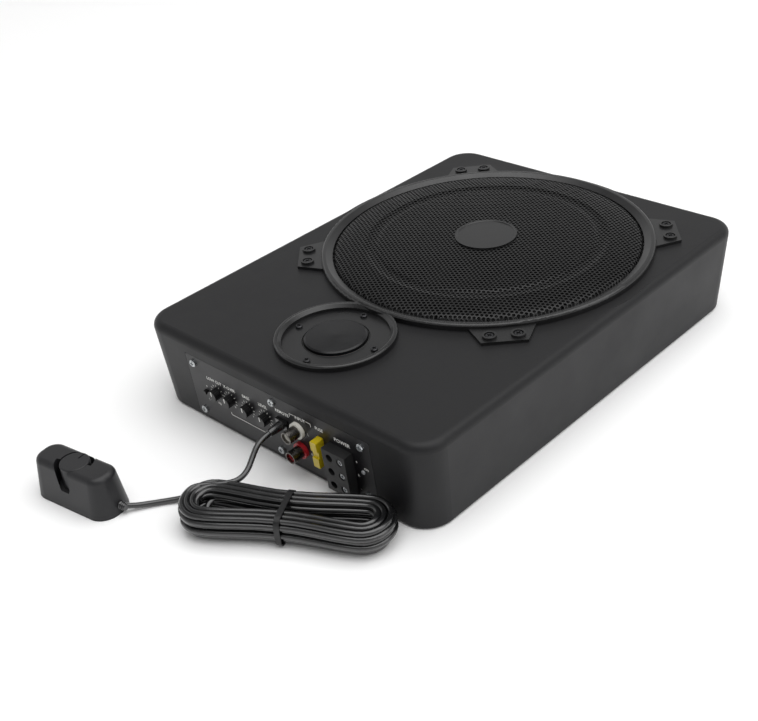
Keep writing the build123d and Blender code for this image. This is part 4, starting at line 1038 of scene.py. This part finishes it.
@dataclass
class ControlPanel:
    """The end panel: knobs, switch, sockets, fuse, terminal, lamp and the white print.

    Lengths are in metres. x runs along the panel and z is the height above the floor; the panel
    leans by the box's taper.
    """

    middle_z: float = 0.0272
    middle_y: float = -0.162854
    lean: float = math.atan(3.8 / 62.5)
    ink: float = 0.00006
    swell: float = 0.00004
    capital_share: float = 0.72
    knob_z: float = 0.0288
    knobs: tuple[tuple[str, float], ...] = (
        ("subsonic_knob", -0.0565),
        ("crossover_knob", -0.0435),
        ("boost_knob", -0.0265),
        ("level_knob", -0.0100),
    )
    knob_front: float = 0.00504
    pointer_half: float = 0.0004
    pointer_span: tuple[float, float] = (0.0004, 0.0038)
    line_width: float = 0.0004
    scale_radius: float = 0.0056
    tick_length: float = 0.0013
    ticks: int = 11
    knob_sweep: float = math.radians(280)
    words: tuple[tuple[str, float, float, float], ...] = (
        ("LOW CUT", -0.0570, 0.0380, 0.0023),
        ("X-OVER", -0.0422, 0.0380, 0.0023),
        ("BASS", -0.0263, 0.0380, 0.0023),
        ("LEVEL", -0.0105, 0.0380, 0.0023),
        ("Hz", -0.0565, 0.0204, 0.0019),
        ("0", -0.0667, 0.0302, 0.0015),
        ("180", -0.0667, 0.0196, 0.0015),
        ("REMOTE", 0.0076, 0.0406, 0.0023),
        ("INPUT", 0.0240, 0.0428, 0.0023),
        ("L", 0.0290, 0.0334, 0.0018),
        ("R", 0.0290, 0.0182, 0.0018),
        ("FUSE", 0.0402, 0.0424, 0.0023),
        ("POWER", 0.0590, 0.0410, 0.0027),
        ("+", 0.0690, 0.0315, 0.0022),
        ("R", 0.0690, 0.0213, 0.0018),
        ("-", 0.0690, 0.0110, 0.0022),
        ("ON", 0.0765, 0.0292, 0.0016),
    )
    rules: tuple[tuple[float, float, float, float], ...] = (
        (-0.0460, 0.0160, -0.0080, 0.0160),
        (-0.0460, 0.0160, -0.0460, 0.0180),
        (-0.0080, 0.0160, -0.0080, 0.0180),
        (0.0148, 0.0434, 0.0192, 0.0434),
        (0.0288, 0.0434, 0.0330, 0.0434),
        (0.0148, 0.0434, 0.0148, 0.0410),
        (0.0330, 0.0434, 0.0330, 0.0410),
    )

    def frame_at(self, x: float, z: float, proud: float) -> Matrix:
        """The placing of a flat mark on the panel.

        Args:
            x: the mark's place along the panel.
            z: its height above the floor.
            proud: how far in front of the panel it lies.

        Returns:
            The matrix that turns the mark's own plane to the panel's.
        """
        up = Vector((0, -math.sin(self.lean), math.cos(self.lean)))
        out = Vector((0, -math.cos(self.lean), -math.sin(self.lean)))
        spot = Vector((x, self.middle_y, self.middle_z)) + up * (
            (z - self.middle_z) / math.cos(self.lean)
        ) + out * proud
        return Matrix.Translation(spot) @ Matrix((Vector((1, 0, 0)), up, out)).transposed().to_4x4()

    def word(self, text: str, x: float, z: float, height: float) -> bpy.types.Mesh:
        """Sets one printed word.

        Args:
            text: the word.
            x: its middle along the panel.
            z: its middle's height.
            height: the capitals' height.

        Returns:
            The word as a mesh on the panel.
        """
        curve = bpy.data.curves.new("word", "FONT")
        curve.body = text
        curve.align_x = curve.align_y = "CENTER"
        curve.size = height / self.capital_share
        curve.resolution_u = 2
        curve.offset = self.swell
        maker = bpy.data.objects.new("word_maker", curve)
        bpy.context.scene.collection.objects.link(maker)
        mesh = evaluated_mesh(maker, "word")
        mesh.transform(self.frame_at(x, z, self.ink))
        return mesh

    def rule(self, x0: float, z0: float, x1: float, z1: float) -> bpy.types.Mesh:
        """Draws one printed line.

        Args:
            x0: the start along the panel.
            z0: the start's height.
            x1: the end along the panel.
            z1: the end's height.

        Returns:
            The line as a mesh on the panel.
        """
        along = Vector((x1 - x0, z1 - z0))
        side = Vector((-along.y, along.x)).normalized() * self.line_width / 2
        corners = [Vector((0, 0)) - side, along - side, along + side, Vector((0, 0)) + side]
        mesh = bpy.data.meshes.new("rule")
        mesh.from_pydata([(corner.x, corner.y, 0) for corner in corners], [], [(0, 1, 2, 3)])
        mesh.transform(self.frame_at(x0, z0, self.ink))
        return mesh

    def scale_tree(self) -> bpy.types.NodeTree:
        """Makes the tree that sets printed ticks on an arc about a knob."""
        tree, given = new_tree(
            "knob_scale",
            {
                "Radius": "Float",
                "Tick Length": "Float",
                "Tick Width": "Float",
                "Ticks": "Int",
                "Sweep": "Float",
                "Finish": "Material",
            },
        )
        size = given.outputs
        points = add_node(tree, "GeometryNodePoints", {}, {"Count": size["Ticks"]}).outputs[0]
        index = add_node(tree, "GeometryNodeInputIndex").outputs[0]
        gaps = add_node(
            tree, "ShaderNodeMath", {"operation": "SUBTRACT"}, {0: size["Ticks"], 1: 1.0}
        ).outputs[0]
        share = add_node(
            tree, "ShaderNodeMath", {"operation": "DIVIDE"}, {0: index, 1: gaps}
        ).outputs[0]
        centred = add_node(
            tree, "ShaderNodeMath", {"operation": "SUBTRACT"}, {0: share, 1: 0.5}
        ).outputs[0]
        angle = add_node(
            tree, "ShaderNodeMath", {"operation": "MULTIPLY"}, {0: centred, 1: size["Sweep"]}
        ).outputs[0]
        turn = add_node(tree, "ShaderNodeCombineXYZ", {}, {"Z": angle}).outputs[0]
        tick = add_node(
            tree,
            "GeometryNodeMeshGrid",
            {},
            {
                "Size X": size["Tick Width"],
                "Size Y": size["Tick Length"],
                "Vertices X": 2,
                "Vertices Y": 2,
            },
        ).outputs[0]
        reach = add_node(tree, "ShaderNodeCombineXYZ", {}, {"Y": size["Radius"]}).outputs[0]
        moved = add_node(
            tree, "GeometryNodeTransform", {}, {"Geometry": tick, "Translation": reach}
        ).outputs[0]
        ticks = add_node(
            tree,
            "GeometryNodeInstanceOnPoints",
            {},
            {"Points": points, "Instance": moved, "Rotation": turn},
        ).outputs[0]
        close_tree(tree, ticks, size["Finish"])
        return tree

    def build(self) -> None:
        """Dresses the panel's fittings and prints its marks."""
        dress(PANEL_PAINT, "control_panel")
        dress(BRIGHT_ZINC, "panel_screws", "terminal_screws")
        dress(KNOB_ABS, *(name for name, x in self.knobs), "phase_switch_slider")
        dress(
            SOCKET_NYLON,
            "control_pots",
            "phase_switch_case",
            "remote_jack",
            "fuse_holder",
            "power_terminal",
        )
        dress(WHITE_ABS, "rca_white")
        dress(RED_ABS, "rca_red")
        dress(BLACK_NICKEL, "rca_barrels", "fuse_blades")
        dress(YELLOW_CARBONATE, "fuse_body")
        dress(LENS_EPOXY, "power_led")
        marks = [self.word(*word) for word in self.words]
        marks += [self.rule(*rule) for rule in self.rules]
        tree = self.scale_tree()
        sizes = {
            "Radius": self.scale_radius,
            "Tick Length": self.tick_length,
            "Tick Width": self.line_width,
            "Ticks": self.ticks,
            "Sweep": self.knob_sweep,
            "Finish": WHITE_INK.build(),
        }
        for _, x in self.knobs:
            scale = run_tree(tree, "scale", sizes)
            scale.transform(self.frame_at(x, self.knob_z, self.ink))
            marks.append(scale)
        sheet = bmesh.new()
        for mark in marks:
            sheet.from_mesh(mark)
            bpy.data.meshes.remove(mark)
        mesh = bpy.data.meshes.new("panel_print")
        sheet.to_mesh(mesh)
        sheet.free()
        add_piece("panel_print", mesh, WHITE_INK)
        half, (start, end) = self.pointer_half, self.pointer_span
        for name, x in self.knobs:
            pointer = bpy.data.meshes.new(name + "_pointer")
            pointer.from_pydata(
                [(-half, start, 0), (half, start, 0), (half, end, 0), (-half, end, 0)],
                [],
                [(0, 1, 2, 3)],
            )
            pointer.transform(self.frame_at(x, self.knob_z, self.knob_front))
            add_piece(name + "_pointer", pointer, WHITE_INK, name)


@dataclass
class Remote:
    """The wired level remote on the floor, with its knob."""

    exit: tuple[float, float, float] = (-0.042560, -0.255544, 0.0050)
    turn: float = math.radians(8.5)
    ribs: int = 3
    rib_pitch: float = 0.0012
    rib_taper: float = 0.0002

    def build(self) -> bpy.types.Object:
        """Dresses the remote and makes the strain relief where its lead comes out.

        Returns:
            The strain relief.
        """
        dress(REMOTE_ABS, "remote_housing", "remote_base", "remote_knob")
        dress(SOCKET_NYLON, "remote_pot")
        profile = [(-0.0008, 0.0026), (0.0, 0.0029)]
        for ring in range(self.ribs):
            foot, wide = 0.0004 + self.rib_pitch * ring, 0.0028 - self.rib_taper * ring
            profile += [
                (foot, wide),
                (foot + 0.0007, wide - 0.0001),
                (foot + 0.0008, wide - 0.0004),
                (foot + 0.0011, wide - 0.0004),
            ]
        profile += [(0.0044, 0.0021), (0.0047, 0.0019)]
        mesh = turned_mesh(
            "remote_boot",
            profile,
            Vector(self.exit),
            Vector((math.cos(self.turn), math.sin(self.turn), -0.05)),
        )
        return add_piece("remote_boot", mesh, PVC_JACKET)


@dataclass
class RemoteLead:
    """The flat hank of round lead between the box and the remote, held by a tie.

    Lengths are in millimetres until the curve is made. Each turn is (offset from the hank's middle
    line at the waist, height of the strand's middle).
    """

    diameter: float = 3.6
    plug_end: tuple[float, float, float] = (7.0, -175.148, 31.672)
    plug_route: tuple[tuple[float, float, float], ...] = (
        (7.0, -183.4, 31.1),
        (8.5, -190.5, 25.5),
        (11.0, -197.5, 20.5),
        (11.5, -204.5, 18.0),
        (8.5, -212.0, 17.8),
    )
    remote_end: tuple[float, float, float] = (-42.560, -255.544, 5.0)
    remote_route: tuple[tuple[float, float, float], ...] = (
        (-38.2, -251.8, 3.6),
        (-31.6, -240.6, 2.0),
        (-22.0, -228.6, 2.0),
        (-11.0, -217.0, 4.2),
        (-0.5, -211.5, 7.5),
    )
    left: tuple[float, float] = (11.0, -228.0)
    right: tuple[float, float] = (92.0, -184.0)
    row_lift: float = 2.98
    floor_row: float = 2.8
    left_extra: float = 5.6
    right_extra: float = 5.1
    corner_pull: float = 1.05
    lobe_steps: int = 6
    step_degrees: float = 36
    end_lift: float = 0.02
    slack: float = 0.7
    late: float = 1.5
    rise: float = 0.5
    low_rows: tuple[tuple[int, tuple[float, ...]], ...] = (
        (2, (12.6, 9.0, 5.4, 1.8)), (1, (3.6, 7.2, 10.8)), (0, (9.0, 5.4, 1.8))
    )
    high_rows: tuple[tuple[int, tuple[float, ...]], ...] = (
        (3, (3.6, 7.2, 10.8)), (4, (12.6, 9.0, 5.4, 1.8)), (5, (3.6, 7.2, 10.8))
    )
    climb: tuple[tuple[float, float], ...] = (
        (7.4, 2.8), (5.0, 3.5), (3.6, 6.0), (3.6, 9.5), (5.5, 11.2), (9.2, 11.7)
    )
    chance: random.Random = field(default_factory=lambda: random.Random(17))

    def at(self, along: float, across: float, height: float) -> tuple[float, float, float]:
        """A point of the hank in the frame of the whole part.

        Args:
            along: the distance from the hank's middle towards its right lobe.
            across: the distance to the box's side of the hank.
            height: the height above the floor.

        Returns:
            The point.
        """
        start, end = Vector(self.left), Vector(self.right)
        run = (end - start).normalized()
        spot = (start + end) / 2 + run * along + Vector((-run.y, run.x)) * across
        return (spot.x, spot.y, height)

    def lobe(
        self, side: int, degrees: float, radius: float, height: float
    ) -> tuple[float, float, float]:
        """A control point on one lobe, a little outside the strand's own line.

        Args:
            side: -1 for the left lobe, 1 for the right one.
            degrees: the angle about the lobe's middle.
            radius: the strand's radius there.
            height: the strand's height.

        Returns:
            The point.
        """
        half = (Vector(self.right) - Vector(self.left)).length / 2
        angle = math.radians(degrees)
        pull = radius * self.corner_pull
        return self.at(side * half + pull * math.cos(angle), pull * math.sin(angle), height)

    def winding(self) -> list[tuple[float, float, float]]:
        """Winds the hank from the remote's end to the box's end, 14 points a turn."""
        low = [(u, self.floor_row + self.row_lift * row) for row, us in self.low_rows for u in us]
        high = [(u, self.floor_row + self.row_lift * row) for row, us in self.high_rows for u in us]
        turns = low + high
        last = self.lobe_steps - 1
        points = [self.lobe(-1, 125, 18.2, 8.4), self.lobe(-1, 100, 18.2, 8.76)]
        for number, (u, z) in enumerate(turns):
            slack = self.chance.uniform(-self.slack, self.slack)
            late = self.chance.uniform(-self.late, self.late)
            rise = self.chance.uniform(-self.rise, self.rise)
            points.append(self.at(late, u, z))
            for step in range(self.lobe_steps):
                points.append(
                    self.lobe(
                        1,
                        90 - self.step_degrees * step,
                        u + self.right_extra + slack,
                        z + rise * math.sin(math.pi * step / last),
                    )
                )
            points.append(self.at(-late, -u, z))
            if number == len(low) - 1:
                points += [
                    self.lobe(-1, -90 - self.step_degrees * step, radius, height)
                    for step, (radius, height) in enumerate(self.climb)
                ]
                continue
            if number == len(turns) - 1:
                points += [
                    self.lobe(
                        -1,
                        -90 - self.step_degrees * step,
                        u + self.left_extra,
                        z + self.end_lift * step,
                    )
                    for step in range(4)
                ]
                points.append(self.lobe(-1, -222, u + self.left_extra, z))
                continue
            next_u, next_z = turns[number + 1]
            for step in range(self.lobe_steps):
                share = step / last
                ease = share * share * (3 - 2 * share)
                radius = u + self.left_extra + (next_u - u) * ease + slack * math.sin(
                    math.pi * share
                )
                points.append(
                    self.lobe(
                        -1,
                        -90 - self.step_degrees * step,
                        radius,
                        z + (next_z - z) * ease - rise * math.sin(math.pi * share),
                    )
                )
        return points

    def build(self, boot: bpy.types.Object) -> bpy.types.Object:
        """Args:
            boot: the strain relief at the remote; not used.

        Returns:
            The lead.
        """
        route = [
            self.remote_end,
            *self.remote_route,
            *self.winding(),
            *reversed(self.plug_route),
            self.plug_end,
        ]
        route.reverse()
        curve = bpy.data.curves.new("remote_lead_line", "CURVE")
        curve.dimensions = "3D"
        curve.bevel_resolution = 3
        curve.resolution_u = 4
        curve.use_fill_caps = True
        spline = curve.splines.new("NURBS")
        spline.points.add(len(route) - 1)
        for point, place in zip(spline.points, route):
            point.co = (place[0] * MM, place[1] * MM, place[2] * MM, 1.0)
        spline.order_u = 3
        spline.use_endpoint_u = True
        maker = bpy.data.objects.new("remote_lead_line", curve)
        bpy.context.scene.collection.objects.link(maker)
        bpy.context.view_layer.update()
        line = bpy.data.meshes.new_from_object(
            maker.evaluated_get(bpy.context.evaluated_depsgraph_get())
        )
        bpy.data.meshes.remove(line)
        curve.bevel_depth = self.diameter / 2 * MM
        tube = evaluated_mesh(maker, "remote_lead")
        lead = add_piece("remote_lead", tube, PVC_JACKET)
        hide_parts("plug_cord", "cord_hank", "remote_cord")
        dress(TIE_PLASTIC, "cord_tie")
        dress(PVC_JACKET, "remote_plug")
        return lead


@dataclass
class Studio:
    """The pale floor, the soft lights and the camera."""

    azimuth: float = math.radians(46.73)
    height: float = math.radians(32.53)
    roll: float = math.radians(-6.164)
    eye: tuple[float, float, float] = (0.47624, -0.52037, 0.44386)
    lens: float = 56.2
    low_sky: float = 0.72
    high_sky: float = 0.26
    floor_reach: float = 6.0
    floor_drop: float = 0.0002
    aim: tuple[float, float, float] = (0, 0, 0.03)

    def floor(self) -> None:
        """Lays the floor."""
        mesh = bpy.data.meshes.new("studio_floor")
        reach = self.floor_reach
        mesh.from_pydata(
            [(-reach, -reach, 0), (reach, -reach, 0), (reach, reach, 0), (-reach, reach, 0)],
            [],
            [(0, 1, 2, 3)],
        )
        mesh.transform(Matrix.Translation((0, 0, -self.floor_drop)))
        mesh.materials.append(STUDIO_BOARD.build())
        floor = bpy.data.objects.new("studio_floor", mesh)
        bpy.context.scene.collection.objects.link(floor)

    def softbox(
        self, name: str, place: tuple[float, float, float], size: float, power: float
    ) -> None:
        """Hangs a square light that points at the middle of the box.

        Args:
            name: the light's name.
            place: where it hangs.
            size: its side.
            power: its power in watts.
        """
        light = bpy.data.lights.new(name, "AREA")
        light.shape = "SQUARE"
        light.size = size
        light.energy = power
        lamp = bpy.data.objects.new(name, light)
        lamp.location = place
        line = Vector(self.aim) - Vector(place)
        lamp.rotation_euler = line.to_track_quat("-Z", "Y").to_euler()
        bpy.context.scene.collection.objects.link(lamp)

    def camera(self) -> None:
        """Sets the camera with its slight roll."""
        data = bpy.data.cameras.new("studio_camera")
        data.lens = self.lens
        data.sensor_width = 36.0
        camera = bpy.data.objects.new("studio_camera", data)
        a, e = self.azimuth, self.height
        right = Vector((math.cos(a), math.sin(a), 0))
        up = Vector((-math.sin(a) * math.sin(e), math.cos(a) * math.sin(e), math.cos(e)))
        back = Vector((math.sin(a) * math.cos(e), -math.cos(a) * math.cos(e), math.sin(e)))
        across = right * math.cos(self.roll) + up * math.sin(self.roll)
        tall = up * math.cos(self.roll) - right * math.sin(self.roll)
        camera.matrix_world = Matrix.Translation(self.eye) @ Matrix(
            (across, tall, back)
        ).transposed().to_4x4()
        bpy.context.scene.collection.objects.link(camera)
        bpy.context.scene.camera = camera

    def build(self) -> None:
        """Sets the floor, the world, the lights and the camera."""
        self.floor()
        world = bpy.data.worlds.new("white_studio")
        world.use_nodes = True
        tree = world.node_tree
        tree.nodes["Background"].inputs["Color"].default_value = (1, 1, 1, 1)
        way = add_node(
            tree,
            "ShaderNodeSeparateXYZ",
            {},
            {0: add_node(tree, "ShaderNodeTexCoord").outputs["Generated"]},
        )
        glow = add_node(
            tree,
            "ShaderNodeMapRange",
            {"interpolation_type": "SMOOTHSTEP"},
            {
                "Value": way.outputs[2],
                "From Min": 0.36,
                "From Max": 0.6,
                "To Min": self.low_sky,
                "To Max": self.high_sky,
            },
        )
        tree.links.new(glow.outputs[0], tree.nodes["Background"].inputs["Strength"])
        bpy.context.scene.world = world
        bpy.context.scene.view_settings.view_transform = "Standard"
        self.softbox("overhead_softbox", (0.6, 0.3, 3.0), 4.0, 115.0)
        self.softbox("side_softbox", (1.9, 0.6, 1.2), 1.0, 5.0)
        self.camera()
        log.info("studio set")


def main() -> None:
    """Builds the subwoofer's sub-assemblies in order and sets the studio."""
    logging.basicConfig(level=logging.INFO, format="%(name)s: %(message)s")
    Studio().build()
    Enclosure().dress()
    WooferUnit().dress()
    Grille().build()
    SmallUnit().dress()
    Amplifier().dress()
    ControlPanel().build()
    boot = Remote().build()
    RemoteLead().build(boot)


if __name__ == "__main__":
    main()
